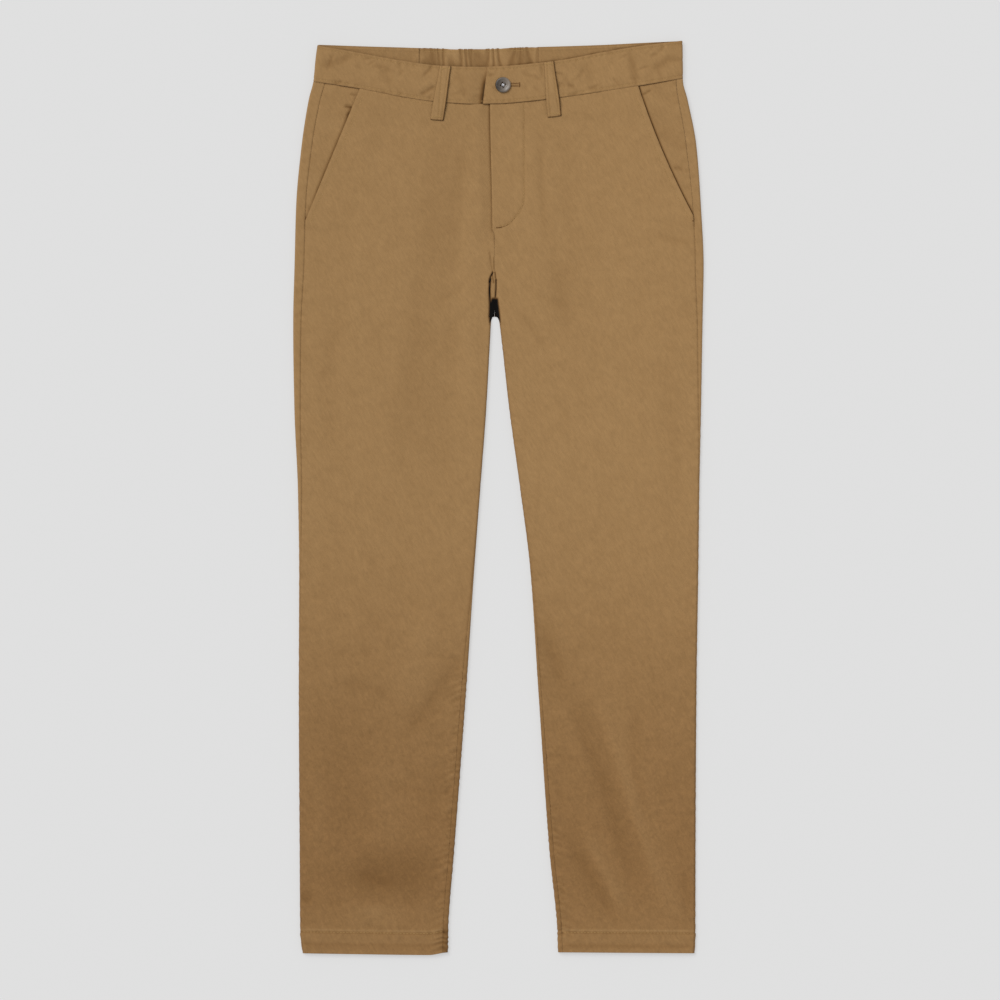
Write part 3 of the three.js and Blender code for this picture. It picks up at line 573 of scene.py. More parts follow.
def fork_hollow(x: Array, y: Array) -> Array:
    """How far the fronts fall away at the fork, from 0 to 1: a wedge, with a slit above it.

    Args:
        x: places across the garment.
        y: places along the garment.

    Returns:
        The hollow's depth as a share.
    """
    half = mix(6.2, 3.6, ease(204, 232, y))
    wedge = bell(x, CENTRE + 0.2, half, 6) * ease(196, 206, y) * (1 - ease(227, 231, y))
    slits = 0.0
    for path, width, depth in FORK_SLITS:
        slits = slits + depth * bell(away_from(path, x, y), 0, width)
    return np.clip(wedge + slits, 0, 1)


def rest_height(y: Array) -> Array:
    """How high the back's lower face lies: it rises onto the back belt loops at the waist."""
    return LOOP_LIFT * ease(LOOP_LIFT_FROM, LOOP_LIFT_TO, y)


def fly_edge(y: Array) -> Array:
    """X of the left front's edge at the fly."""
    return mix(FLY_EDGE_BOTTOM, FLY_EDGE_TOP, ease(FLY_END, FLY_TOP, y))


@dataclass
class Skin:
    """Places on a face of the garment: how far in, how high, and the way out of the cloth."""

    inward: Array
    z: Array
    out: Array
    up: Array


@dataclass
class Leg:
    """One leg of the garment, with the half of the hips above it."""

    side: Side
    stations: tuple[Station, ...]
    mouth: Mouth
    outer: Curve = field(init=False)
    inner: Curve = field(init=False)
    side_seam: Curve = field(init=False)
    inseam: Curve = field(init=False)

    def __post_init__(self) -> None:
        """Makes the curves of the leg's outline from its table."""
        at = [s.y for s in self.stations]
        self.outer = Curve(at, [s.outer for s in self.stations])
        self.inner = Curve(at, [s.inner for s in self.stations])
        self.side_seam = Curve(at, [s.side for s in self.stations])
        self.inseam = Curve(at, [s.inseam for s in self.stations])

    def x_at(self, y: Array, inward: Array) -> Array:
        """X of places that lie some way in from the outer edge."""
        return self.outer(y) - self.side.value * inward

    def inward_of(self, y: Array, x: Array) -> Array:
        """How far in from the outer edge some places lie."""
        return self.side.value * (self.outer(y) - x)

    def roll(self, y: Array) -> Array:
        """0 where the inner edge is sewn flat, 1 where it rolls over."""
        return 1.0 - ease(FORK - FORK_ROLL, FORK, y)

    def front_reach(self, y: Array) -> Array:
        """How far in the front goes.

        Args:
            y: places along the garment.

        Returns:
            The reach from the outer edge.
        """
        under = FLY_UNDERLAP if self.side is Side.RIGHT else 0.0
        lap = ease(FLY_END - FLY_BLEND, FLY_END, y)
        return self.inward_of(y, mix(self.inner(y), fly_edge(y) + under, lap))

    def back_reach(self, y: Array) -> Array:
        """How far in the back goes.

        Args:
            y: places along the garment.

        Returns:
            The reach from the outer edge.
        """
        seam = mix(CENTRE, BACK_CENTRE_TOP, np.clip((y - FORK) / (BACK_TOP - FORK), 0.0, 1.0))
        below = mix(self.inner(y), CENTRE, ease(BACK_FORK - 0.3, BACK_FORK + 0.3, y))
        return self.inward_of(y, np.where(y > FORK, seam, below))

    def crest(self, y: Array, reach: Array) -> Array:
        """How far in the level stretch ends."""
        return reach - EDGE_RADIUS * np.sin(self.roll(y) * math.pi / 2)

    def top(self, y: Array, inward: Array) -> Array:
        """Height of the front's upper face, without laps and small creases.

        Args:
            y: places along the garment.
            inward: how far in from the outer edge they lie.

        Returns:
            The height there.
        """
        from_edge = np.maximum(0.0, inward - EDGE_RADIUS)
        from_crest = np.maximum(0.0, self.crest(y, self.front_reach(y)) - inward)
        roll = self.roll(y)

        def settled(reach: float) -> Array:
            """How far the cloth has settled from its edges over a distance."""
            return (1 - np.exp(-from_edge / reach)) * (1 - roll * np.exp(-from_crest / reach))

        x = self.x_at(y, inward)
        full = (BODY_HEIGHT - 2 * EDGE_RADIUS) * settled(SETTLE)
        dip = DIP_DEPTH * bell(x, CENTRE, DIP_WIDTH) * (1 - ease(FORK, DIP_TOP, y)) * (1 - roll)
        return 2 * EDGE_RADIUS + full + fold_height(x, y) * settled(SETTLE / 2) - dip

    def over(self, y: Array, length: Array) -> Skin:
        """Places on the upper face, at lengths over it from the outer edge.

        Args:
            y: places along the garment.
            length: lengths over the face from the outer edge.

        Returns:
            The places, with the way out of the cloth.
        """
        r = EDGE_RADIUS
        crest = self.crest(y, self.front_reach(y))
        flat_end = QUARTER + crest - r
        first = np.minimum(length / r, math.pi / 2)
        last = np.maximum(0.0, (length - flat_end) / r)
        rising, level = length < QUARTER, length <= flat_end
        flat = np.minimum(r + length - QUARTER, crest)
        top = self.top(y, flat)
        return Skin(
            np.where(rising, r * (1 - np.cos(first)), np.where(level, flat, crest + r * np.sin(last))),
            np.where(rising, r + r * np.sin(first), top - r * (1 - np.cos(last))),
            np.where(rising, -np.cos(first), np.sin(last)),
            np.where(rising, np.sin(first), np.cos(last)),
        )

    def under(self, y: Array, length: Array) -> Skin:
        """Places on the lower face, at lengths under it from the outer edge, and round the inner edge.

        Args:
            y: places along the garment.
            length: lengths over the face from the outer edge.

        Returns:
            The places, with the way out of the cloth.
        """
        r = EDGE_RADIUS
        crest = self.crest(y, self.back_reach(y))
        flat_end = QUARTER + crest - r
        first = np.clip(length / r, 0.0, math.pi / 2)
        turn = np.clip((length - flat_end) / r, 0.0, math.pi)
        past = np.maximum(0.0, length - flat_end - math.pi * r)
        falling, level = length < QUARTER, length <= flat_end
        flat = np.minimum(r + length - QUARTER, crest)
        beyond = crest - past

        def pick(wrapped: Array, flat_one: Array | float, turned: Array, lapped: Array | float) -> Array:
            """Picks each place's value by the stretch that it lies on."""
            past_flat = np.where(past > 0, lapped, turned)
            return np.where(falling, wrapped, np.where(level, flat_one, past_flat))

        below = Skin(
            pick(r * (1 - np.cos(first)), flat, crest + r * np.sin(turn), beyond),
            pick(r - r * np.sin(first), 0.0, r * (1 - np.cos(turn)), self.top(y, beyond)),
            pick(-np.cos(first), 0.0, np.sin(turn), 0.0),
            pick(-np.sin(first), -1.0, -np.cos(turn), 1.0),
        )
        above = self.over(y, np.maximum(0.0, -length))
        front = length < 0
        return Skin(
            np.where(front, above.inward, below.inward), np.where(front, above.z, below.z),
            np.where(front, above.out, below.out), np.where(front, above.up, below.up),
        )

    def gather(self, y: Array, away: Array) -> Array:
        """Height of the puckers along the inseam, the same on the front's side of it and on the back's."""
        below = ease(-150, -230, y) if self.side is Side.RIGHT else 0.35 + 0.65 * ease(-330, -400, y)
        return self.roll(y) * below * (y < FORK) * puckers(away, y, 7.6, 11.0, 0.6, 2.0 + self.side.value)

    def mouth_x(self, y: Array) -> Array:
        """X of the pocket's mouth.

        Args:
            y: places along the garment.

        Returns:
            X of the mouth's edge.
        """
        m = self.mouth
        t = (y - m.y_end) / (m.y_top - m.y_end)
        return mix(m.x_end, m.x_top, t) - self.side.value * m.bow * np.maximum(0, 4 * t * (1 - t))

    def mouth_length(self, y: Array) -> Array:
        """Length over the upper face from the outer edge to the pocket's mouth."""
        return self.inward_of(y, self.mouth_x(y)) - EDGE_RADIUS + QUARTER

    def hem_places(self) -> Array:
        """X of places along the hem's stitching.

        Returns:
            The places, from the outer edge in.
        """
        inset = 3 * self.side.value
        y = HEM_LINE + HEM_DEPTH
        return np.linspace(self.outer(y) - inset, self.inner(y) + inset, 40)

    def facing_dip(self, y: Array, inward: Array) -> Array:
        """How far the facing sinks under the pocket's mouth."""
        seam = self.side_seam(y) - QUARTER + EDGE_RADIUS
        return FACING_DIP * ease(seam, seam + SLANT_UNDERLAP, inward)

    def front_lift(self, y: Array, inward: Array) -> Array:
        """How far the front stands up over the facing, and the right front sinks under the fly.

        Args:
            y: places along the garment.
            inward: how far in from the outer edge they lie.

        Returns:
            The lift, below 0 where it sinks.
        """
        x = self.x_at(y, inward)
        past = self.side.value * (self.mouth_x(y) - x)
        over = 1 - ease(SLANT_UNDERLAP + 4, 2.5 * SLANT_UNDERLAP, past)
        lift = (LAP - self.facing_dip(y, inward)) * over * ease(self.mouth.y_end - 14, self.mouth.y_end, y)
        if self.side is Side.LEFT:
            return lift
        sink = ease(fly_edge(y) - FLY_SINK_FROM, fly_edge(y) - FLY_SINK_TO, x)
        return lift - FLY_SINK * sink * ease(FLY_END - FLY_SETTLE, FLY_END - FLY_BLEND, y)

    def band_height(self, y: Array, inward: Array) -> Array:
        """The waistband's upper face, above the back waistband's lower one.

        Args:
            y: places along the garment.
            inward: how far in from the outer edge they lie.

        Returns:
            The height there.
        """
        x = self.x_at(y, inward)
        settled = 1 - np.exp(-np.maximum(0.0, inward - BAND_RADIUS) / SETTLE)
        swell = BAND_SWELL * ease(-66, -34, x) * (1 - ease(38, 74, x))
        return 2 * BAND_RADIUS + (BAND_HEIGHT - 2 * BAND_RADIUS) * settled + swell


RIGHT_LEG = Leg(Side.RIGHT, RIGHT_STATIONS, RIGHT_MOUTH)
LEFT_LEG = Leg(Side.LEFT, LEFT_STATIONS, LEFT_MOUTH)


def hem_line(x: Array) -> Array:
    """Y of the hem's stitching on the fronts: a little higher on the right leg."""
    return HEM_DEPTH + hem_edge(x) + 1.7 * (np.asarray(x) < 0)


def row_height(row: Array, x: Array, share: Array | float) -> Array:
    """Y of places of a row: the first row follows the waist's seam and the last one the hem.

    Args:
        row: heights of the rows, before they follow the waist and the hem.
        x: places across the garment.
        share: share of the way from the front's seam to the back's.

    Returns:
        Y of the places.
    """
    seam = mix(front_seam(x), back_seam(x), share) - SEAM_GAP - FLY_TOP
    hem = hem_edge(x) - HEM_LINE
    to_hem = 1 - ease(HEM_LINE, HEM_LINE + 2 * HEM_DEPTH, row)
    return row + seam * ease(WAIST_CURVE_FROM, FLY_TOP, row) + hem * to_hem


def linear(code: str) -> tuple[float, float, float, float]:
    """Turns an sRGB hex colour into linear red, green, blue and alpha."""
    parts = [int(code[i : i + 2], 16) / 255 for i in (1, 3, 5)]
    return tuple(p / 12.92 if p <= 0.04045 else ((p + 0.055) / 1.055) ** 2.4 for p in parts) + (1.0,)


def add(tree: bpy.types.NodeTree, kind: str, inputs: dict | None = None, **settings) -> bpy.types.Node:
    """Adds a node to a material.

    Args:
        tree: the material's node tree.
        kind: the node's type.
        inputs: values or other nodes' outputs, by socket name or number.
        **settings: the node's own settings.

    Returns:
        The new node.
    """
    node = tree.nodes.new(kind)
    for key, value in settings.items():
        setattr(node, key, value)
    for key, value in (inputs or {}).items():
        if isinstance(value, bpy.types.NodeSocket):
            tree.links.new(value, node.inputs[key])
        else:
            node.inputs[key].default_value = value
    return node


def ramp(tree: bpy.types.NodeTree, value: bpy.types.NodeSocket, start: Sequence, result: Sequence,
         **settings) -> bpy.types.NodeSocket:
    """Adds a node that turns one range of values into another.

    Args:
        tree: the material's node tree.
        value: the values.
        start: the two ends of their range.
        result: what comes out there, as numbers or other nodes' outputs.
        **settings: the node's own settings.

    Returns:
        The values that come out, held at both ends.
    """
    ends = {"From Min": start[0], "From Max": start[1], "To Min": result[0], "To Max": result[1]}
    return add(tree, "ShaderNodeMapRange", {"Value": value, **ends}, **settings).outputs[0]


def blend(tree: bpy.types.NodeTree, share: bpy.types.NodeSocket, first, second) -> bpy.types.NodeSocket:
    """Adds a node that blends two colours."""
    return add(tree, "ShaderNodeMix", {"Factor": share, 6: first, 7: second}, data_type="RGBA").outputs[2]


def maths(tree: bpy.types.NodeTree, operation: str, *values) -> bpy.types.NodeSocket:
    """Adds a node that works out one value from others."""
    return add(tree, "ShaderNodeMath", dict(enumerate(values)), operation=operation).outputs[0]


def noise(tree: bpy.types.NodeTree, place: bpy.types.NodeSocket, size_mm: float, **inputs) -> bpy.types.NodeSocket:
    """Adds uneven spots of about a size."""
    names = {"Vector": place, "Scale": 1 / (size_mm * MM), **{k.title(): v for k, v in inputs.items()}}
    return add(tree, "ShaderNodeTexNoise", names).outputs["Fac"]


def bands(tree: bpy.types.NodeTree, place: bpy.types.NodeSocket, apart_mm: float, way: str,
          inputs: dict | None = None) -> bpy.types.NodeSocket:
    """Adds bands some way apart. A wave node's own are 2 pi / 20 apart at scale 1.

    Args:
        tree: the material's node tree.
        place: where on the object.
        apart_mm: the bands' distance.
        way: the axis that they cross.
        inputs: other sockets' values.

    Returns:
        The bands, from 0 to 1.
    """
    scale = 2 * math.pi / (20 * apart_mm * MM)
    names = {"Vector": place, "Scale": scale, **(inputs or {})}
    return add(tree, "ShaderNodeTexWave", names, bands_direction=way).outputs["Fac"]


def new_material(name: str) -> tuple[bpy.types.Material, bpy.types.NodeTree]:
    """Makes an empty node material and returns it with its tree.

    Args:
        name: its name.

    Returns:
        The material and its node tree.
    """
    material = bpy.data.materials.new(name)
    material.use_nodes = True
    material.node_tree.nodes.clear()
    return material, material.node_tree


@dataclass(frozen=True)
class WashedTwill:
    """Cotton twill, piece dyed and washed: matte and faintly ribbed, with painted shade in its folds, gaps and
    lower legs, and paler ridges, partly rubbed and partly painted highlight.
    """

    name: str = "washed_cotton_twill"
    colour: str = "#9d7b51"
    rub_and_highlight: str = "#ab8a5f"  # paler ridges and seams: partly rubbed, partly painted highlight
    fold_shade: str = "#6f4f2b"  # painted shade in folds and seams
    lower: str = "#8a6740"  # painted shade on the lower legs
    unlit: str = "#050201"  # where no light gets in
    mottle: str = "#80603a"
    wale_mm: float = 1.7  # real wales are 0.5 mm apart, which would not show, so they are drawn coarser
    wale_angle: float = math.radians(-28)
    slub_mm: float = 2.2
    mottle_mm: float = 14.0
    crumple_mm: float = 6.0
    roughness: float = 0.88
    bump_mm: float = 0.16

    def build(self) -> bpy.types.Material:
        """Makes the material.

        Returns:
            The finish.
        """
        material, tree = new_material(self.name)
        place = add(tree, "ShaderNodeTexCoord").outputs["Object"]
        axes = add(tree, "ShaderNodeSeparateXYZ", {0: place}).outputs
        turned = add(tree, "ShaderNodeMapping", {"Vector": place, "Rotation": (0, 0, self.wale_angle)}).outputs[0]
        along = add(tree, "ShaderNodeMapping", {"Vector": turned, "Scale": (1.0, 0.28, 1.0)}).outputs[0]
        wales = bands(tree, turned, self.wale_mm, "X", {"Distortion": 1.1, "Detail": 2.0, "Detail Scale": 2.0})
        slub = noise(tree, along, self.slub_mm, detail=4.0, roughness=0.6)
        mottle = noise(tree, place, self.mottle_mm, detail=5.0, roughness=0.62)
        crumple = noise(tree, place, self.crumple_mm, detail=4.0, roughness=0.65, distortion=0.8)
        # Painted shade darkens the lower legs, and the hems a little less, and the lower legs are more crumpled
        shade_strength = ramp(tree, axes["Y"], (0.05, -0.43), (0.0, 1.0), interpolation_type="SMOOTHSTEP")
        hem = ramp(tree, axes["Y"], (-0.44, -0.5), (1.0, 0.8), interpolation_type="SMOOTHSTEP")
        low = maths(tree, "MULTIPLY", shade_strength, hem)
        shown = blend(tree, low, linear(self.colour), linear(self.lower))
        most = ramp(tree, low, (0.0, 1.0), (0.22, 0.42))
        shown = blend(tree, ramp(tree, mottle, (0.3, 0.7), (0.0, most)), shown, linear(self.mottle))
        # Painted shade darkens folds and seams, gaps get a near-black painted shadow, and ridges are paler, partly
        # rubbed and partly painted highlight
        tone = add(tree, "ShaderNodeAttribute", attribute_name="tone").outputs["Fac"]
        for tones, share, colour in (
                ((0.0, -1.0), 1.0, self.fold_shade), ((-1.0, -2.0), 1.0, self.unlit), ((0.0, 1.0), 0.45, self.rub_and_highlight)):
            shown = blend(tree, ramp(tree, tone, tones, (0.0, share)), shown, linear(colour))
        dark = ramp(tree, low, (0.0, 1.0), (0.985, 0.9))
        pale = ramp(tree, low, (0.0, 1.0), (1.015, 1.1))
        threads = ramp(tree, slub, (0.25, 0.75), (0.91, 1.09))
        # The wearer's left side is a little paler
        paler_on_left = ramp(tree, axes["X"], (-0.15, 0.15), (1.0, 1.045))
        light = maths(tree, "MULTIPLY", threads, paler_on_left)
        light = maths(tree, "MULTIPLY", light, ramp(tree, crumple, (0.3, 0.7), (dark, pale)))
        shown = add(tree, "ShaderNodeVectorMath", {0: shown, 3: light}, operation="SCALE").outputs[0]
        relief = maths(tree, "MULTIPLY_ADD", slub, 0.8, wales)
        relief = maths(tree, "MULTIPLY_ADD", crumple, ramp(tree, low, (0.0, 1.0), (1.2, 3.6)), relief)
        bump = add(tree, "ShaderNodeBump", {"Height": relief, "Distance": self.bump_mm * MM, "Strength": 0.9})
        shader = add(tree, "ShaderNodeBsdfPrincipled", {
            "Base Color": shown, "Roughness": self.roughness, "Specular IOR Level": 0.1,
            "Sheen Weight": 0.06, "Sheen Roughness": 0.6, "Normal": bump.outputs[0]})
        add(tree, "ShaderNodeOutputMaterial", {"Surface": shader.outputs[0]})
        return material


@dataclass(frozen=True)
class SewingThread:
    """Spun polyester thread, dyed to match: a soft gleam on each stitch, and a fine twist."""

    name: str = "spun_polyester_thread"
    colour: str = "#b5925e"
    shade: str = "#987644"
    twist_mm: float = 0.5  # the real ply is finer than this
    roughness: float = 0.75

    def build(self) -> bpy.types.Material:
        """Makes the material.

        Returns:
            The finish.
        """
        material, tree = new_material(self.name)
        place = add(tree, "ShaderNodeTexCoord").outputs["Object"]
        twist = bands(tree, place, self.twist_mm, "DIAGONAL", {"Distortion": 1.0})
        shown = blend(tree, twist, linear(self.shade), linear(self.colour))
        bump = add(tree, "ShaderNodeBump", {"Height": twist, "Distance": 0.08 * MM})
        shader = add(tree, "ShaderNodeBsdfPrincipled", {
            "Base Color": shown, "Roughness": self.roughness, "Sheen Weight": 0.05,
            "Specular IOR Level": 0.3, "Normal": bump.outputs[0]})
        add(tree, "ShaderNodeOutputMaterial", {"Surface": shader.outputs[0]})
        return material


@dataclass(frozen=True)
class MouldedResin:
    """Polyester resin, moulded to look like horn: satin and cloudy, dark with painted shade on one side and paler
    with painted light on the other.
    """

    name: str = "moulded_button_resin"
    colour: str = "#857a6f"
    vein_and_shade: str = "#261f1a"
    shade_to_light_x: tuple[float, float] = (-4.0, 14.5)  # X over which the painted shade on the disc's left turns to painted light on its right
    grain_mm: float = 5.0
    pore_mm: float = 0.4
    roughness: float = 0.34

    def build(self) -> bpy.types.Material:
        """Makes the material.

        Returns:
            The finish.
        """
        material, tree = new_material(self.name)
        place = add(tree, "ShaderNodeTexCoord").outputs["Object"]
        cloud = noise(tree, place, self.grain_mm, detail=4.0, distortion=1.6)
        across = add(tree, "ShaderNodeSeparateXYZ", {0: place}).outputs["X"]
        # Painted shade on the disc's left turns to painted light on its right, under the resin's cloud
        pale = ramp(tree, across, [x * MM for x in self.shade_to_light_x], (0.0, 1.0))
        share = maths(tree, "SUBTRACT", maths(tree, "MULTIPLY_ADD", cloud, 0.5, pale), 0.25)
        shown = blend(tree, share, linear(self.vein_and_shade), linear(self.colour))
        bump = add(tree, "ShaderNodeBump", {"Height": noise(tree, place, self.pore_mm), "Distance": 0.01 * MM})
        shader = add(tree, "ShaderNodeBsdfPrincipled", {
            "Base Color": shown, "Roughness": self.roughness, "Normal": bump.outputs[0]})
        add(tree, "ShaderNodeOutputMaterial", {"Surface": shader.outputs[0]})
        return material


@dataclass(frozen=True)
class WovenTape:
    """Woven polyester zip tape: fine cross ribs and a dull face."""

    name: str = "woven_zip_tape"
    colour: str = "#6f5b41"
    rib_mm: float = 0.9

    def build(self) -> bpy.types.Material:
        """Makes the material.

        Returns:
            The finish.
        """
        material, tree = new_material(self.name)
        place = add(tree, "ShaderNodeTexCoord").outputs["Object"]
        ribs = bands(tree, place, self.rib_mm, "Y")
        bump = add(tree, "ShaderNodeBump", {"Height": ribs, "Distance": 0.1 * MM})
        shader = add(tree, "ShaderNodeBsdfPrincipled", {
            "Base Color": linear(self.colour), "Roughness": 0.8, "Normal": bump.outputs[0]})
        add(tree, "ShaderNodeOutputMaterial", {"Surface": shader.outputs[0]})
        return material


@dataclass(frozen=True)
class FrostedTable:
    """A frosted acrylic table lit from below: even and pale, it takes only a faint shadow."""

    name: str = "frosted_lit_table"
    colour: str = "#8b8b8b"
    glow: str = "#b9b9b9"  # the light that comes up through it

    def build(self) -> bpy.types.Material:
        """Makes the material.

        Returns:
            The finish.
        """
        material, tree = new_material(self.name)
        shader = add(tree, "ShaderNodeBsdfPrincipled", {
            "Base Color": linear(self.colour), "Roughness": 1.0, "Specular IOR Level": 0.0,
            "Emission Color": linear(self.glow), "Emission Strength": 1.0})
        add(tree, "ShaderNodeOutputMaterial", {"Surface": shader.outputs[0]})
        return material


@dataclass
class Finishes:
    """The finishes of the garment, made once."""

    twill: bpy.types.Material = field(default_factory=lambda: WashedTwill().build())
    thread: bpy.types.Material = field(default_factory=lambda: SewingThread().build())
    gimp: bpy.types.Material = field(default_factory=lambda: SewingThread(
        "buttonhole_gimp_thread", "#7a5224", "#5a3a14").build())
    button_thread: bpy.types.Material = field(default_factory=lambda: SewingThread(
        "grey_button_thread", "#e6e6ea", "#bdbdc4").build())
    resin: bpy.types.Material = field(default_factory=lambda: MouldedResin().build())
    tape: bpy.types.Material = field(default_factory=lambda: WovenTape().build())
    table: bpy.types.Material = field(default_factory=lambda: FrostedTable().build())


def mesh_object(name: str, points: Array, faces: Sequence, material: bpy.types.Material) -> bpy.types.Object:
    """Makes a smooth mesh object from points in millimetres.

    Args:
        name: the object's name.
        points: the points, one a row.
        faces: corner numbers of each face.
        material: its finish.

    Returns:
        The linked object.
    """
    mesh = bpy.data.meshes.new(name)
    mesh.from_pydata((np.asarray(points) * MM).tolist(), [], [tuple(int(c) for c in f) for f in faces])
    mesh.polygons.foreach_set("use_smooth", [True] * len(mesh.polygons))
    mesh.materials.append(material)
    mesh.update()
    obj = bpy.data.objects.new(name, mesh)
    bpy.context.scene.collection.objects.link(obj)
    return obj


@dataclass
class Cloth:
    """A piece of cloth: its two faces as grids of points, and the tone of each place: painted shade and highlight,
    with some rubbing.
    """

    outer: Array
    inner: Array
    tone: Array
    lining: Array | None = None  # the inner face's own tone

    def grid(self) -> tuple[Array, Array]:
        """The points' numbers as a grid, and the corners of the quads between them."""
        ids = np.arange(self.outer[..., 0].size).reshape(self.outer.shape[:2])
        return ids, np.stack((ids[:-1, :-1], ids[:-1, 1:], ids[1:, 1:], ids[1:, :-1]), -1).reshape(-1, 4)

    def surface(self) -> BVHTree:
        """A search tree of the outer face, for what is sewn on it."""
        quads = self.grid()[1]
        return BVHTree.FromPolygons(self.outer.reshape(-1, 3).tolist(), quads.tolist())

    def cut(self) -> tuple[float, float, float]:
        """Width, length and area of the flat cloth, in metres.

        Returns:
            The width, the length and the area.
        """
        across = np.linalg.norm(np.diff(self.outer, axis=1), axis=2)
        along = np.linalg.norm(np.diff(self.outer, axis=0), axis=2)
        area = ((across[:-1] + across[1:]) / 2 * (along[:, :-1] + along[:, 1:]) / 2).sum()
        return across.sum(1).max() * MM, along.sum(0).max() * MM, area * MM * MM

    def build(self, name: str, material: bpy.types.Material) -> bpy.types.Object:
        """Makes the closed shell, with the tone of each place as an attribute.

        Args:
            name: its name.
            material: its finish.

        Returns:
            The linked object.
        """
        points = np.concatenate((self.outer.reshape(-1, 3), self.inner.reshape(-1, 3)))
        ids, quads = self.grid()
        behind = ids.size
        rim = np.concatenate((ids[0, :-1], ids[:-1, -1], ids[-1, :0:-1], ids[:0:-1, 0]))
        following = np.roll(rim, -1)
        edge = np.stack((following, rim, rim + behind, following + behind), -1)
        faces = np.concatenate((quads, (quads + behind)[:, ::-1], edge))
        a, b, c = (points[faces[:, k]] for k in range(3))
        d = points[faces[:, 3]]
        volume = np.einsum("ij,ij->i", a, np.cross(b, c) + np.cross(c, d)).sum()
        if volume < 0:
            faces = faces[:, ::-1]
        obj = mesh_object(name, points, faces, material)
        smooth = np.ones(len(faces), bool)
        smooth[2 * len(quads):] = False
        obj.data.polygons.foreach_set("use_smooth", smooth)
        attribute = obj.data.attributes.new("tone", "FLOAT", "POINT")
        lining = self.tone if self.lining is None else self.lining
        attribute.data.foreach_set("value", np.concatenate((self.tone, lining), None).astype(np.float32))
        return obj


def lay(leg: Leg, y: Array, skin: Skin, height: Array, thick: float) -> tuple[Array, Array]:
    """Places a piece's two faces.

    Args:
        leg: the leg that the places are measured on.
        y: the places along the garment.
        skin: the places on the face.
        height: how far the cloth stands out of that face.
        thick: the cloth's thickness.

    Returns:
        The points of the outer face and of the inner face.
    """
    def face(h: Array) -> Array:
        """Points that stand a height out of the face."""
        x = leg.x_at(y, skin.inward + skin.out * h)
        return np.stack((x, y, rest_height(y) + skin.z + skin.up * h), -1)

    return face(height), face(height - thick)


def dress(obj: bpy.types.Object, replaced: Sequence[str] = ()) -> None:
    """Makes a piece ride on the garment's root body, and hides the solids that it stands for.

    Args:
        obj: the piece.
        replaced: names of the solids that it stands for.
    """
    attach(obj, "root")
    if replaced:
        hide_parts(*replaced)
    LOG.info("%s: %d faces", obj.name, len(obj.data.polygons))


def turned_edge(away: Array, drop: float = 0.55, width: float = 1.1) -> Array:
    """How a seamed edge rolls down into its seam."""
    return -drop * bell(away, 0, width)


def seam_shows(x: Array) -> Array:
    """How sharply the waistband's seam turns in: it lies open beside the right front's belt loop."""
    return 1 - 0.85 * ease(-110, -101, x) * (1 - ease(-80, -76, x))


def seam_drop(leg: Leg, y: Array) -> Array:
    """How far the side seam's edges turn down: it is pressed flat beside the left pocket."""
    return mix(0.4, 0.08, ease(322, 332, y)) if leg.side is Side.LEFT else 0.4 + 0 * y


def ridden(y: Array) -> Array:
    """How far the inseam's edges turn down, which changes all along it."""
    return 0.05 + 0.3 * np.maximum(0.0, wander(y / 8.0, 5.0)) ** 2


def groove(away: Array, depth: float = 0.3, width: float = 0.8) -> Array:
    """The line that a row of stitches pulls into the cloth."""
    return -depth * bell(away, 0, width)


NEAR_EDGE = np.array([0, 0.3, 0.7, 1.2, 1.8, 2.5, 3.3, 4.2, 5.2, 6.3, 7.5, 8.8, 10.2, 12.0])


def away_from(path: Sequence[tuple[float, float]], x: Array, y: Array) -> Array:
    """Distance of places from a line through some points.

    Args:
        path: points of the line, as X and Y.
        x: places across the garment.
        y: places along the garment.

    Returns:
        The distance to the nearest place on it.
    """
    nearest = np.full_like(x, np.inf)
    for (ax, ay), (bx, by) in zip(path[:-1], path[1:]):
        length = math.hypot(bx - ax, by - ay)
        t = np.clip(((x - ax) * (bx - ax) + (y - ay) * (by - ay)) / length**2, 0.0, 1.0)
        nearest = np.minimum(nearest, np.hypot(x - mix(ax, bx, t), y - mix(ay, by, t)))
    return nearest


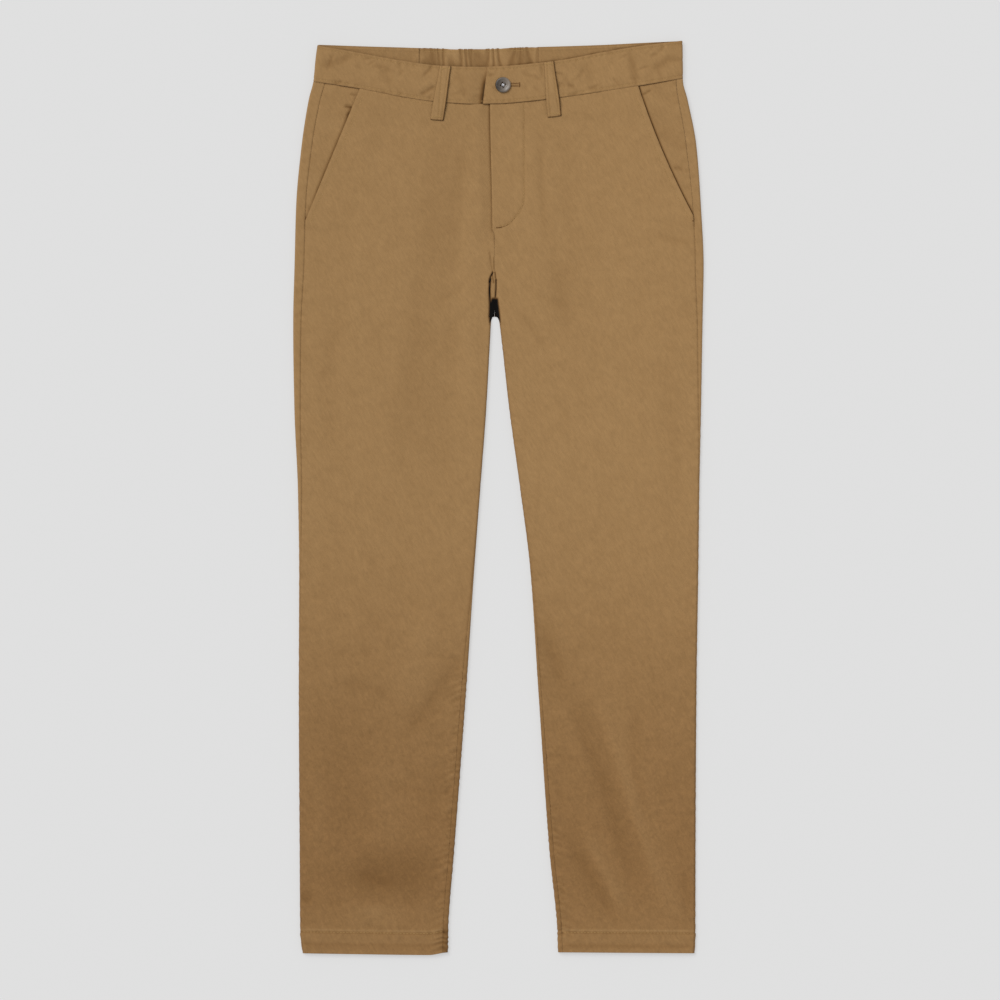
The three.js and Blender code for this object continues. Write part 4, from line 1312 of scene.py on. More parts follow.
@dataclass
class Front:
    """A front of the trousers: hip, pocket edge, fly, leg and hem."""

    leg: Leg
    row_step: float = 2.8
    hem_step: float = 1.1
    columns: int = 100
    mouth_stitch: float = 6.5  # the topstitching's distance from the pocket's mouth
    hem_stitch: float = HEM_LINE + HEM_DEPTH

    def rows(self) -> Array:
        """Heights of the rows, closer together at the waist and the hem.

        Returns:
            The heights, from the waist down.
        """
        body = np.arange(FLY_TOP, self.hem_stitch + 6, -self.row_step)
        hem = np.arange(self.hem_stitch + 6, HEM_LINE, -self.hem_step)
        top = FLY_TOP - np.array([0.5, 1.1, 1.8])
        fork = np.arange(204.0, 262.0, 1.4)
        body = body[(body < 203) | (body > 263)]
        return np.sort(np.concatenate(([FLY_TOP], top, body[1:], fork, hem, [HEM_LINE])))[::-1]

    def span(self, y: Array) -> tuple[Array, Array]:
        """Lengths over the face at which the front starts and ends.

        Args:
            y: places along the garment.

        Returns:
            The start and the end.
        """
        leg = self.leg
        start = np.maximum(leg.side_seam(y), leg.mouth_length(y)) + SEAM_GAP / 2
        flat_end = QUARTER + leg.crest(y, leg.front_reach(y)) - EDGE_RADIUS
        return start, flat_end + leg.roll(y) * (QUARTER - leg.inseam(y)) - SEAM_GAP / 2

    def lengths(self, y: Array) -> Array:
        """Lengths over the face of each column.

        Args:
            y: places along the garment.

        Returns:
            The lengths, closer together beside both edges.
        """
        start, end = self.span(y)
        last = NEAR_EDGE[-1]
        middle = np.linspace(0, 1, self.columns)[1:-1]
        share = np.concatenate((np.zeros(len(NEAR_EDGE)), middle, np.ones(len(NEAR_EDGE))))
        from_start = np.concatenate((NEAR_EDGE, np.full(len(middle), last), np.zeros(len(NEAR_EDGE))))
        from_end = np.concatenate((np.zeros(len(NEAR_EDGE)), np.full(len(middle), last), NEAR_EDGE[::-1]))
        return mix(start + from_start, end - from_end, share)

    def crinkled(self, x: Array, y: Array) -> Array:
        """Height of the small crinkles."""
        patches = RIGHT_CRINKLES if self.leg.side is Side.RIGHT else LEFT_CRINKLES
        return sum(patch(x, y) for patch in patches)

    def relief(self, x: Array, y: Array, from_start: Array, from_end: Array) -> Array:
        """Height of creases, seam puckers, hem and stitched lines.

        Args:
            x: places across the garment.
            y: places along the garment.
            from_start: distance from the piece's outer edge.
            from_end: distance from its inner edge or its end.

        Returns:
            The height there.
        """
        leg = self.leg
        above_hem = y - hem_line(x)
        below_seam = front_seam(x) - y
        height = crease_height(FRONT_CREASES, x, y) + self.crinkled(x, y)
        # The hem is thicker, its stitches sink, and the edge that is turned in shows through
        height += 0.35 * (1 - ease(-0.6, 0.6, above_hem)) + groove(above_hem)
        height += 0.25 * bell(above_hem, 2.6, 1.5)
        height += groove(above_hem + 14.5, 0.22, 2.2)
        height += puckers(np.abs(above_hem), x, 13.0, 7.0, 0.2, leg.side.value)
        # The inseam, the side seam and the waistband's seam
        height += leg.gather(y, from_end)
        height += puckers(from_start, y, 12.0, 7.0, 0.22, 7.0)
        height += turned_edge(below_seam, 0.3 * seam_shows(x)) + puckers(below_seam, x, 11.0, 6.0, 0.14, 3.0)
        height += turned_edge(from_start, 0.4)
        edge_drop = mix(mix(0.5, 0.12, ease(306, 296, y)), ridden(y), leg.roll(y))
        height += turned_edge(from_end, edge_drop) - 2.0 * fork_hollow(x, y)
        # The pocket's mouth is doubled up to its row of stitches
        mouth = ease(leg.mouth.y_end - 2, leg.mouth.y_end + 4, y)
        doubled = 0.14 * (1 - ease(self.mouth_stitch - 1, self.mouth_stitch + 1, from_start))
        height += mouth * (doubled + groove(from_start - self.mouth_stitch, 0.14))
        if leg.side is Side.LEFT:
            # The fly is padded inside its stitches, and its edge stands up
            inside = (x < 30) & (y > 308)
            away = away_from(FLY_STITCH, x, y)
            height += groove(away, 0.42) + np.where(inside, 0.28, 0.0) * ease(0.5, 2.5, away)
            height += 0.35 * bell(from_end, 0, 2.5) * ease(FLY_END - 4, FLY_END + 6, y)
        return height

    def cloth(self) -> Cloth:
        """Works out the front's two faces.

        Returns:
            The two faces, and the painted shade and highlight of each place.
        """
        leg = self.leg
        row = self.rows()[:, None] + np.zeros(len(self.lengths(np.zeros((1, 1)))[0]))
        y = row.copy()
        for _ in range(5):
            y = row_height(row, leg.x_at(y, leg.over(y, self.lengths(y)).inward), 0.0)
        length = self.lengths(y)
        start, end = self.span(y)
        skin = leg.over(y, length)
        x = leg.x_at(y, skin.inward)
        relief = self.relief(x, y, length - start, end - length)
        lift = leg.front_lift(y, skin.inward)
        raised = Skin(skin.inward, skin.z + lift, skin.out, skin.up)
        outer, inner = lay(leg, y, raised, relief, CLOTH)
        return Cloth(outer, inner, np.clip(self.tone(x, y, relief, end - length), -2, 1))

    def tone(self, x: Array, y: Array, relief: Array, from_end: Array) -> Array:
        """The cloth's tone: paler above 0, partly rubbed and partly painted highlight, and painted shade in folds
        and gaps below 0.

        Args:
            x: places across the garment.
            y: places along the garment.
            relief: height of the cloth's creases and seams.
            from_end: distance from its inner edge or its end.

        Returns:
            The tone, from about -2 to 1.
        """
        creased, crinkled = crease_height(FRONT_CREASES, x, y), self.crinkled(x, y)
        low = 1 - ease(-300, -100, y)
        above_hem = y - hem_line(x)
        # Painted shade and highlight follow the creases, seams and folds, and a near-black painted shadow fills
        # the fork's hollow
        tone = 0.55 * (relief - creased - crinkled) + 0.22 * creased + 0.12 * crinkled
        tone += (0.1 + 0.08 * low) * fold_height(x, y) - 1.9 * fork_hollow(x, y)
        # The hem's upper edge is paler, partly rubbed and partly painted highlight, with painted shade under it
        tone += 0.5 * bell(above_hem, 2.4, 1.3) - 0.45 * bell(above_hem, -0.5, 1.1)
        # Painted shade along the inseam's rolled edge, high on the leg
        tone -= 0.55 * bell(from_end, 0, 2.4) * ease(-260, -60, y) * (y < FORK)
        if self.leg.side is Side.LEFT:
            # Dark inside the fly's stitches and low on the hem
            return tone - 0.12 * (x < 29) * (y > 312) - 0.3 * bell(above_hem, -16, 2.6)
        # Dark low on the hem; painted shade at its inner corner, painted shade and light in broad patches over the
        # leg's folds, and painted shade beside the fly's edge, which lies over it
        tone -= 0.2 * (1 - ease(-13, -10.5, above_hem)) * ease(-22, -18, above_hem)
        tone -= 0.6 * bell(x, -60, 7) * (1 - ease(-500, -486, y))
        for shade in RIGHT_SHADES:
            across = bell(x, shade.x, shade.width, shade.power)
            tone += shade.strength * across * bell(y, shade.y, shade.length, shade.power)
        beside = bell(x, fly_edge(y), 1.9) * (0.5 + 0.5 * ease(300, 440, y))
        return tone - np.where(x < fly_edge(y) + 1, beside, 0.0) * ease(FLY_END - 8, FLY_END, y)


@dataclass
class Back:
    """A back of the trousers, which wraps over the outer edge, lies under the leg and meets the inseam."""

    leg: Leg
    row_step: float = 3.6
    wrap_columns: int = 26
    flat_columns: int = 34
    turn_columns: int = 18
    level_turn: float = 8.0

    def rows(self) -> Array:
        """Heights of the rows.

        Returns:
            The heights, from the waist down.
        """
        body = np.arange(FLY_TOP, HEM_LINE + HEM_DEPTH + 4, -self.row_step)
        body = body[np.abs(body - BACK_FORK) > 4]
        fork = BACK_FORK + np.array([3.6, 2.4, 1.2, 0.6, 0.2, -0.2, -0.6, -1.8, -3.2])
        hem = np.arange(HEM_LINE + HEM_DEPTH + 4, HEM_LINE, -1.2)
        return np.sort(np.concatenate((body, fork, hem, [HEM_LINE])))[::-1]

    def places(self, y: Array) -> tuple[Array, Array, Array]:
        """Lengths under the face of each column, with those of the side seam and the inseam.

        Args:
            y: places along the garment.

        Returns:
            The lengths, and those of the two seams.
        """
        leg = self.leg
        side = leg.side_seam(y) - SEAM_GAP / 2
        roll = leg.roll(y)
        flat_end = QUARTER + leg.crest(y, leg.back_reach(y)) - EDGE_RADIUS
        end = flat_end + roll * (QUARTER + leg.inseam(y)) - SEAM_GAP / 2
        turn = end - mix(self.level_turn, end - flat_end, roll)
        wrap = np.linspace(0, 1, self.wrap_columns)
        flat = np.linspace(0, 1, self.flat_columns)[1:]
        bend = np.linspace(0, 1, self.turn_columns)[1:]
        part = np.concatenate((np.zeros(len(wrap)), np.ones(len(flat)), np.full(len(bend), 2.0)))
        share = np.concatenate((wrap, flat, bend))
        length = np.where(part == 0, mix(-side, QUARTER, share),
                          np.where(part == 1, mix(QUARTER, turn, share), mix(turn, end, share)))
        return length, -side + 0 * length, end + 0 * length

    def cloth(self) -> Cloth:
        """Works out the back's two faces.

        Returns:
            The two faces, and the painted shade and highlight of each place.
        """
        leg = self.leg
        columns = self.wrap_columns + self.flat_columns + self.turn_columns - 2
        row = self.rows()[:, None] + np.zeros(columns)
        y = row.copy()
        for _ in range(5):
            length, start, end = self.places(y)
            y = row_height(row, leg.x_at(y, leg.under(y, length).inward), ease(-QUARTER, QUARTER, length))
        length, start, end = self.places(y)
        skin = leg.under(y, length)
        x = leg.x_at(y, skin.inward)
        relief = crease_height(BACK_CREASES, x, y) * (length > 0)
        above_hem = y - (HEM_LINE + HEM_DEPTH)
        relief += 0.3 * (1 - ease(-0.6, 0.6, above_hem)) + groove(above_hem)
        relief += puckers(np.abs(above_hem), x, 9.0, 8.0, 0.3, 5.0)
        relief += turned_edge(length - start, seam_drop(leg, y))
        relief += turned_edge(end - length, mix(0.5, ridden(y), leg.roll(y)))
        relief += puckers(length - start, y, 12.0, 7.0, 0.22, 7.0)
        relief += leg.gather(y, end - length)
        resting = (skin.up < -0.5) & (y < LOOP_LIFT_FROM)
        relief = np.where(resting, np.minimum(relief - 0.05, 0.0), relief)
        outer, inner = lay(leg, y, skin, relief, CLOTH)
        # Painted shade and highlight follow the relief, a near-black painted shadow lies at the fork on both
        # faces, and painted shade runs along the inseam's rolled edge high on the leg and, on the right, near the
        # hem
        dark = bell(x, CENTRE, 8, 4) * ease(198, 206, y) * (1 - ease(226, 232, y))
        edge = 0.22 * leg.roll(y) * (skin.up > 0.05) * (length > QUARTER) * (1 - ease(-200, -120, y))
        if leg.side is Side.RIGHT:
            edge = edge + 0.7 * (skin.up > 0.05) * (length > QUARTER) * (1 - ease(-500, -486, y))
        tone = 0.55 * relief - edge - 2 * dark * (skin.up > -0.9)
        return Cloth(outer, inner, np.clip(tone, -2, 1), np.clip(-2 * dark, -2, 1))


@dataclass
class PocketFacing:
    """The cloth behind a pocket's mouth."""

    leg: Leg
    rows: int = 70
    columns: int = 44
    foot: float = -3.0

    def cloth(self) -> Cloth:
        """Works out the facing's two faces.

        Returns:
            The two faces, and the painted shade and highlight of each place.
        """
        leg = self.leg
        row = np.linspace(FLY_TOP, leg.mouth.y_end + self.foot, self.rows)[:, None] + np.zeros(self.columns)
        across = np.linspace(0, 1, self.columns)
        y = row.copy()
        for _ in range(5):
            start = leg.side_seam(y) + SEAM_GAP / 2
            length = mix(start, leg.mouth_length(y) + SLANT_UNDERLAP, across)
            y = row_height(row, leg.x_at(y, leg.over(y, length).inward), 0.0)
        skin = leg.over(y, length)
        x = leg.x_at(y, skin.inward)
        relief = turned_edge(length - start, seam_drop(leg, y)) + turned_edge(front_seam(x) - y, 0.3)
        relief += puckers(length - start, y, 12.0, 7.0, 0.22, 7.0)
        relief += 0.15 * wander(y / 22.0 + x / 40.0, 1.0) + crease_height(FACING_CREASES, x, y)
        sunk = Skin(skin.inward, skin.z - leg.facing_dip(y, skin.inward), skin.out, skin.up)
        outer, inner = lay(leg, y, sunk, relief, CLOTH)
        # Painted shade follows the creases and seams and lies a little over the left facing, with a painted shadow
        # along the mouth's edge, which the front casts
        away = np.maximum(0.0, leg.mouth_length(y) - length)
        base, edge, reach = (0.1, 1.7, 1.6) if leg.side is Side.LEFT else (0.0, 0.85, 2.6)
        if leg.side is Side.RIGHT:
            edge = edge * (0.3 + 0.7 * ease(334, 352, y)) * (1 - 0.75 * ease(447, 450, y))
        tone = 0.6 * relief - base - edge * bell(away, 0, reach)
        return Cloth(outer, inner, np.clip(tone, -1.6, 1))


def band_y(x: Array, up: Array | float, share: Array | float) -> Array:
    """Y of places on the waistband, from the share of its width and of the back's curves."""
    return mix(mix(front_seam(x), back_seam(x), share), mix(front_top(x), back_top(x), share), up)


@dataclass
class Waistband:
    """One end of the waistband: over the front, round the side and under to the elastic."""

    leg: Leg
    elastic_x: float
    edge_stitch: float = 3.2
    width_rows: int = 34
    step: float = 1.6
    round_columns: int = 16
    edge_x: float = 196.0

    def end_x(self, up: Array) -> Array:
        """X of the waistband's end over the front.

        Args:
            up: shares of the band's width, from its lower edge.

        Returns:
            X of the end.
        """
        if self.leg.side is Side.RIGHT:
            return UNDERLAP_END + 0 * up
        return mix(LAP_EDGE_BOTTOM, LAP_EDGE_TOP, up)

    def relief(self, x: Array, y: Array, up: Array, from_end: Array) -> Array:
        """Height of the stitched edges, the padding between them and the band's creases.

        Args:
            x: places across the garment.
            y: places along the garment.
            up: shares of the band's width, from its lower edge.
            from_end: distance from its inner edge or its end.

        Returns:
            The height there.
        """
        width = BACK_BAND_WIDTH
        from_edge = np.minimum(up, 1 - up) * width + 0 * x
        height = turned_edge(from_edge, 0.3 * seam_shows(x), 0.8) + groove(from_edge - self.edge_stitch, 0.32)
        height += 0.22 * np.sin(math.pi * np.clip(up, 0, 1)) + turned_edge(from_end, 0.5)
        height += puckers(np.abs(from_edge - self.edge_stitch), x, 8.5, 5.0, 0.2, 9.0)
        return height + crease_height(BAND_CREASES, x, y) + sum(patch(x, y) for patch in BAND_CRINKLES)

    def cloth(self) -> Cloth:
        """Works out the band's two faces.

        Returns:
            The two faces, and the painted shade and highlight of each place.
        """
        leg = self.leg
        edge = np.array([0, 0.4, 0.9, 1.6, 2.4, 3.2, 4.0, 5.0]) / BACK_BAND_WIDTH
        middle = np.linspace(edge[-1], 1 - edge[-1], self.width_rows)[1:-1]
        up = np.concatenate((edge, middle, 1 - edge[::-1]))[:, None]
        count = int((self.edge_x + 20) / self.step)
        near = NEAR_EDGE / NEAR_EDGE[-1] * 0.05
        share = np.concatenate((near, np.linspace(near[-1], 1, count)[1:]))
        x = mix(self.end_x(up), leg.side.value * self.edge_x, share)
        y = band_y(x, up, 0.0)
        inward = leg.inward_of(y, x)
        flat = Skin(inward, leg.band_height(y, inward), 0 * x, 1 + 0 * x)
        from_end = np.abs(x - self.end_x(up))
        relief = self.relief(x, y, up, from_end)
        if leg.side is Side.RIGHT:
            lap = mix(LAP_EDGE_BOTTOM, LAP_EDGE_TOP, up)
            sink = ease(lap - BAND_SINK_FROM, lap - BAND_SINK_TO, x)
            flat.z = flat.z - BAND_SINK * sink
            relief *= 1 - 0.7 * sink
        thick = BAND_CLOTH - 0.1
        over = lay(leg, y, flat, relief, thick)
        angle = np.linspace(-math.pi / 2, math.pi / 2, self.round_columns) + 0 * up
        turn = BAND_RADIUS * (1 - np.cos(angle))
        share_round = ease(-math.pi / 2, math.pi / 2, angle)
        y_round = np.full_like(angle, FLY_TOP)
        for _ in range(6):
            y_round = band_y(leg.x_at(y_round, turn), up, share_round)
        x_round = leg.x_at(y_round, turn)
        skin = Skin(turn, BAND_RADIUS - BAND_RADIUS * np.sin(angle), -np.cos(angle), -np.sin(angle))
        relief_round = self.relief(x_round, y_round, up + 0 * angle, np.full_like(angle, 99.0))
        rolled = lay(leg, y_round, skin, relief_round, thick)
        goal = self.elastic_x
        x_under = mix(x_round[:, -1:], goal, np.linspace(0, 1, 60)[1:])
        y_under = band_y(x_under, up, 1.0)
        below = Skin(leg.inward_of(y_under, x_under), 0 * x_under, 0 * x_under, -1 + 0 * x_under)
        relief_under = self.relief(x_under, y_under, up + 0 * x_under, np.abs(x_under - goal))
        under = lay(leg, y_under, below, np.minimum(relief_under, 0.3), thick)
        outer, inner = (np.concatenate((over[k], rolled[k], under[k]), axis=1) for k in range(2))
        # Painted shade on the right end, where it dips under the left end's lap, dying away up the band
        shade = 0 * x
        if leg.side is Side.RIGHT:
            lap = mix(LAP_EDGE_BOTTOM, LAP_EDGE_TOP, up)
            shade_strength = 1.6 - 1.45 * ease(0.45, 0.92, up)
            shade = shade_strength * np.where(x < lap + 1, bell(x, lap, mix(4.2, 3.4, up)), 0)
        # Painted shade and highlight follow the relief; the inside of the part underneath takes the front band's
        # painted shadow
        tone = 0.5 * np.concatenate((relief, relief_round, relief_under), axis=1)
        tone[:, :x.shape[1]] -= shade
        lining = 0 * tone
        lining[:, -x_under.shape[1]:] = -0.1 - band_edge_shadow(x_under, y_under)
        return Cloth(outer, inner, np.clip(tone - 0.08, -1.6, 1), np.clip(lining, -1.6, 1))


def band_edge_shadow(x: Array, y: Array) -> Array:
    """The painted shadow that the front waistband's upper edge casts on the inside of the back waistband.

    Args:
        x: places across the garment.
        y: places along the garment.

    Returns:
        The darkness, from 0 to 1.
    """
    broken = 0.55 + 0.45 * wander(x / 7.0, 3.0)
    side = mix(0.25, 0.9, ease(6, 20, x))
    return side * broken * bell(y, front_top(x) + 0.4, 1.3)


@dataclass
class ElasticBack:
    """The elasticated middle of the back waistband, gathered on both faces."""

    rows: int = 26
    steps: int = 26
    height: float = 1.15
    stray: float = 0.3

    def wave(self, along: Array, up: Array) -> Array:
        """The gathers, from 0 in a valley to 1 on a crest. They slant and waver up the band.

        Args:
            along: shares of the elastic's length.
            up: shares of the band's width, from its lower edge.

        Returns:
            The gathers' height as a share.
        """
        wave = along * GATHERS
        astray = wave + self.stray * np.sin(wave * 2.3 + 0.7) + 0.3 * np.sin(3.4 * up + 1.9 * wave)
        uneven = 0.62 + 0.38 * np.sin(wave * 1.31 + 2 + 1.2 * up)
        ends = ease(0, 0.03, along) * ease(0, 0.03, 1 - along)
        crest = 0.5 - 0.5 * np.cos(2 * math.pi * astray)
        split = 0.22 * np.sin(2 * math.pi * (2.1 * astray + 0.4 * np.sin(5 * up))) * (2 * up - 1) ** 2
        return mix(0.4, np.clip(uneven * crest**0.8 + split, 0, 1), ends)

    def cloth(self) -> Cloth:
        """Works out the band's two faces: the upper one is the inside of the waist.

        Returns:
            The two faces, and the painted shade and highlight of each place.
        """
        along = np.linspace(0, 1, GATHERS * self.steps)[None, :]
        edge = np.array([0, 0.4, 1.0, 1.8, 2.8, 4.0]) / BACK_BAND_WIDTH
        middle = np.linspace(edge[-1], 1 - edge[-1], self.rows)[1:-1]
        up = np.concatenate((edge, middle, 1 - edge[::-1]))[:, None]
        x = mix(ELASTIC_FROM, ELASTIC_TO, along) + 0 * up
        wave = self.wave(along, up)
        y = band_y(x, up, 1.0) - 0.9 * (wave - 0.5) * ease(0.5, 1.0, up)
        from_edge = np.minimum(up, 1 - up) * BACK_BAND_WIDTH
        drawn = groove(from_edge - 3.2, 0.35) + turned_edge(from_edge, 0.6, 0.9)
        z = rest_height(y)
        top = z + BAND_CLOTH - self.height / 2 + self.height * wave * (0.75 + 0.25 * np.sin(math.pi * up)) + drawn
        low = z - 0.35 * wave - drawn * 0.5 + 0.1
        upper = np.stack((x, y, top), -1)
        lower = np.stack((x, y, np.minimum(low, top - 0.8)), -1)
        # Painted shade in the gathers' valleys and stitched edges and paler crests, with the front band's painted
        # shadow on the upper face
        tone = 0.9 * (wave - 0.6) + 0.5 * drawn - 0.05
        return Cloth(upper, lower, np.clip(tone - band_edge_shadow(x, y), -1.4, 1), tone)


@dataclass
class BeltLoop:
    """A belt loop: a folded strip with its two edges stitched and both ends tacked down."""

    name: str
    x_top: float
    x_foot: float
    top_width: float
    foot_width: float
    thick: float = 0.95
    rest: float = 0.45
    bow: float = 1.0
    rows: int = 60
    drop: float = 21.4  # how far it reaches below the waistband's seam
    seams: tuple[tuple[float, float], ...] = ()  # X of each line of stitches, at the top and at the foot

    def middle(self, down: Array) -> tuple[Array, Array]:
        """X of the loop's middle line and its width."""
        return mix(self.x_top, self.x_foot, down), mix(self.top_width, self.foot_width, ease(0, 0.8, down))

    def shape(self) -> tuple[Array, Array, Array]:
        """The shares across and down the loop, and the strip's rounded and stitched section.

        Returns:
            The shares across, the shares down and the section's height.
        """
        edge = np.array([-0.5, -0.485, -0.465])
        across = np.concatenate((edge, np.linspace(-0.44, 0.44, 25), -edge[::-1]))
        down = np.linspace(0, 1, self.rows)[:, None]
        from_edge = (0.5 - np.abs(across)) * self.foot_width
        ends = np.minimum(down, 1 - down) * 62
        section = turned_edge(from_edge, 0.45, 0.8) + turned_edge(ends, 0.4, 0.8)
        section = section + 0.12 * np.sin(np.pi * (across + 0.5))
        x_middle, width = self.middle(down)
        for top, foot in self.seams:
            section = section + groove(x_middle + across * width - mix(top, foot, down), 0.42, 0.9)
        return across[None, :], down, section

    def cloth(self) -> Cloth:
        """Works out the loop's two faces over the waistband and the front.

        Returns:
            The two faces, and the painted shade and highlight of each place.
        """
        across, down, section = self.shape()
        x_middle, width = self.middle(down)
        x = x_middle + across * width
        seam = front_seam(x)
        y = mix(front_top(x) - SEAM_GAP, seam - self.drop, down)
        leg = RIGHT_LEG if self.x_top < CENTRE else LEFT_LEG
        body = rest_height(y) + leg.top(y, leg.inward_of(y, x))
        y_band = np.maximum(y, seam)
        band = rest_height(y_band) + leg.band_height(y_band, leg.inward_of(y_band, x))
        level = mix(body, band, ease(seam - 15, seam - 4, y))
        low = level + self.rest + self.bow * np.sin(math.pi * down) ** 0.8 + 0 * across
        outer = np.stack((x, y, low + self.thick + section), -1)
        inner = np.stack((x, y, low), -1)
        # Painted shadow along the loop's right edge and at its foot, with painted shade in its grooves and turned
        # edges
        shaded = 1.6 * bell(across * width, 0.5 * width, 1.0) + bell(down * 62, 62, 0.9)
        return Cloth(outer, inner, np.clip(0.9 * section + 0.12 - shaded, -1.6, 1))


@dataclass
class BackLoop(BeltLoop):
    """A belt loop under the back waistband, which lies flat on the surface."""

    def cloth(self) -> Cloth:
        """Works out the loop's two faces: the outer one looks down.

        Returns:
            The two faces, and the painted shade and highlight of each place.
        """
        across, down, section = self.shape()
        x = self.middle(down)[0] + across * self.foot_width
        y = mix(back_top(x) - SEAM_GAP, back_seam(x) - LOOP_DROP, down)
        outer = np.stack((x, y, np.maximum(0.0, -section - 0.12)), -1)
        inner = np.stack((x, y, np.full_like(x, 1.0)), -1)
        return Cloth(outer, inner, np.clip(section + 0.25, -1, 1))


@dataclass
class Stitching:
    """Rows of stitches, laid on the surfaces that they sew."""

    surfaces: Sequence[BVHTree]
    stitch: float = 3.0
    gap: float = 0.8
    width: float = 0.62
    height: float = 0.42
    sides: int = 6
    points: list = field(default_factory=list)
    faces: list = field(default_factory=list)

    def touch(self, x: float, y: float, way: Facing) -> Vector | None:
        """The place on the garment above or below X and Y, or none.

        Args:
            x: X of the place.
            y: Y of the place.
            way: the face of the garment that it is on.

        Returns:
            The place on the cloth, or none.
        """
        best = None
        for tree in self.surfaces:
            hit = tree.ray_cast(Vector((x, y, 60.0 * way.value)), Vector((0, 0, -way.value)))[0]
            if hit is not None and (best is None or (hit.z - best.z) * way.value > 0):
                best = hit
        return best

    def one(self, start: Vector, end: Vector, way: Facing, width: float | None = None) -> None:
        """Adds a stitch: a short rounded rod that dives into the cloth at both ends.

        Args:
            start: where it starts.
            end: where it ends.
            way: the face of the garment that it is on.
            width: its width, where it isn't the usual one.
        """
        run = end - start
        if not 0.3 < run.length < 12:
            return
        across = Vector((-run.y, run.x, 0)).normalized() * (width or self.width) / 2
        rise = Vector((0, 0, self.height * way.value))
        base = len(self.points)
        for share, swell in ((0.0, 0.35), (0.18, 0.9), (0.5, 1.0), (0.82, 0.9), (1.0, 0.35)):
            centre = start + run * share + rise * (0.35 * (swell - 0.75))
            for k in range(self.sides):
                a = 2 * math.pi * k / self.sides
                self.points.append(centre + across * math.cos(a) * swell + rise * math.sin(a) * 0.5 * swell)
        for ring in range(4):
            for k in range(self.sides):
                a = base + ring * self.sides + k
                b = base + ring * self.sides + (k + 1) % self.sides
                self.faces.append((a, b, b + self.sides, a + self.sides))
        self.faces.append(tuple(base + k for k in reversed(range(self.sides))))
        self.faces.append(tuple(base + 4 * self.sides + k for k in range(self.sides)))

    def row(self, path: Sequence[tuple[float, float]], way: Facing = Facing.UP) -> None:
        """Sews a row of stitches along a line.

        Args:
            path: points of the line, as X and Y.
            way: the face of the garment that it is on.
        """
        line = np.asarray(path, float)
        reach = np.concatenate(([0.0], np.cumsum(np.hypot(*np.diff(line, axis=0).T))))
        count = max(1, int(reach[-1] / (self.stitch + self.gap)))
        pitch = reach[-1] / count
        for number in range(count):
            ends = []
            for s in (number * pitch + self.gap / 2, (number + 1) * pitch - self.gap / 2):
                ends.append(self.touch(np.interp(s, reach, line[:, 0]), np.interp(s, reach, line[:, 1]), way))
            if None not in ends:
                self.one(ends[0], ends[1], way)

    def bartack(self, x: float, y: float, angle: float, length: float, way: Facing = Facing.UP) -> None:
        """Sews a bartack: a dense bar of short stitches across a line.

        Args:
            x: X of its middle.
            y: Y of its middle.
            angle: its direction, in radians.
            length: the bar's length.
            way: the face of the garment that it is on.
        """
        along = Vector((math.cos(angle), math.sin(angle)))
        across = Vector((-along.y, along.x)) * 0.95
        count = int(length / 0.75)
        for number in range(count + 1):
            centre = Vector((x, y)) + along * length * (number / count - 0.5)
            a, b = centre - across, centre + across
            ends = (self.touch(a.x, a.y, way), self.touch(b.x, b.y, way))
            if None not in ends:
                self.one(ends[0], ends[1], way, 0.7)

    def build(self, name: str, material: bpy.types.Material) -> bpy.types.Object:
        """Joins all the stitches into one piece.

        Args:
            name: its name.
            material: its finish.

        Returns:
            The linked object.
        """
        obj = mesh_object(name, np.array([tuple(p) for p in self.points]), self.faces, material)
        dress(obj)
        return obj


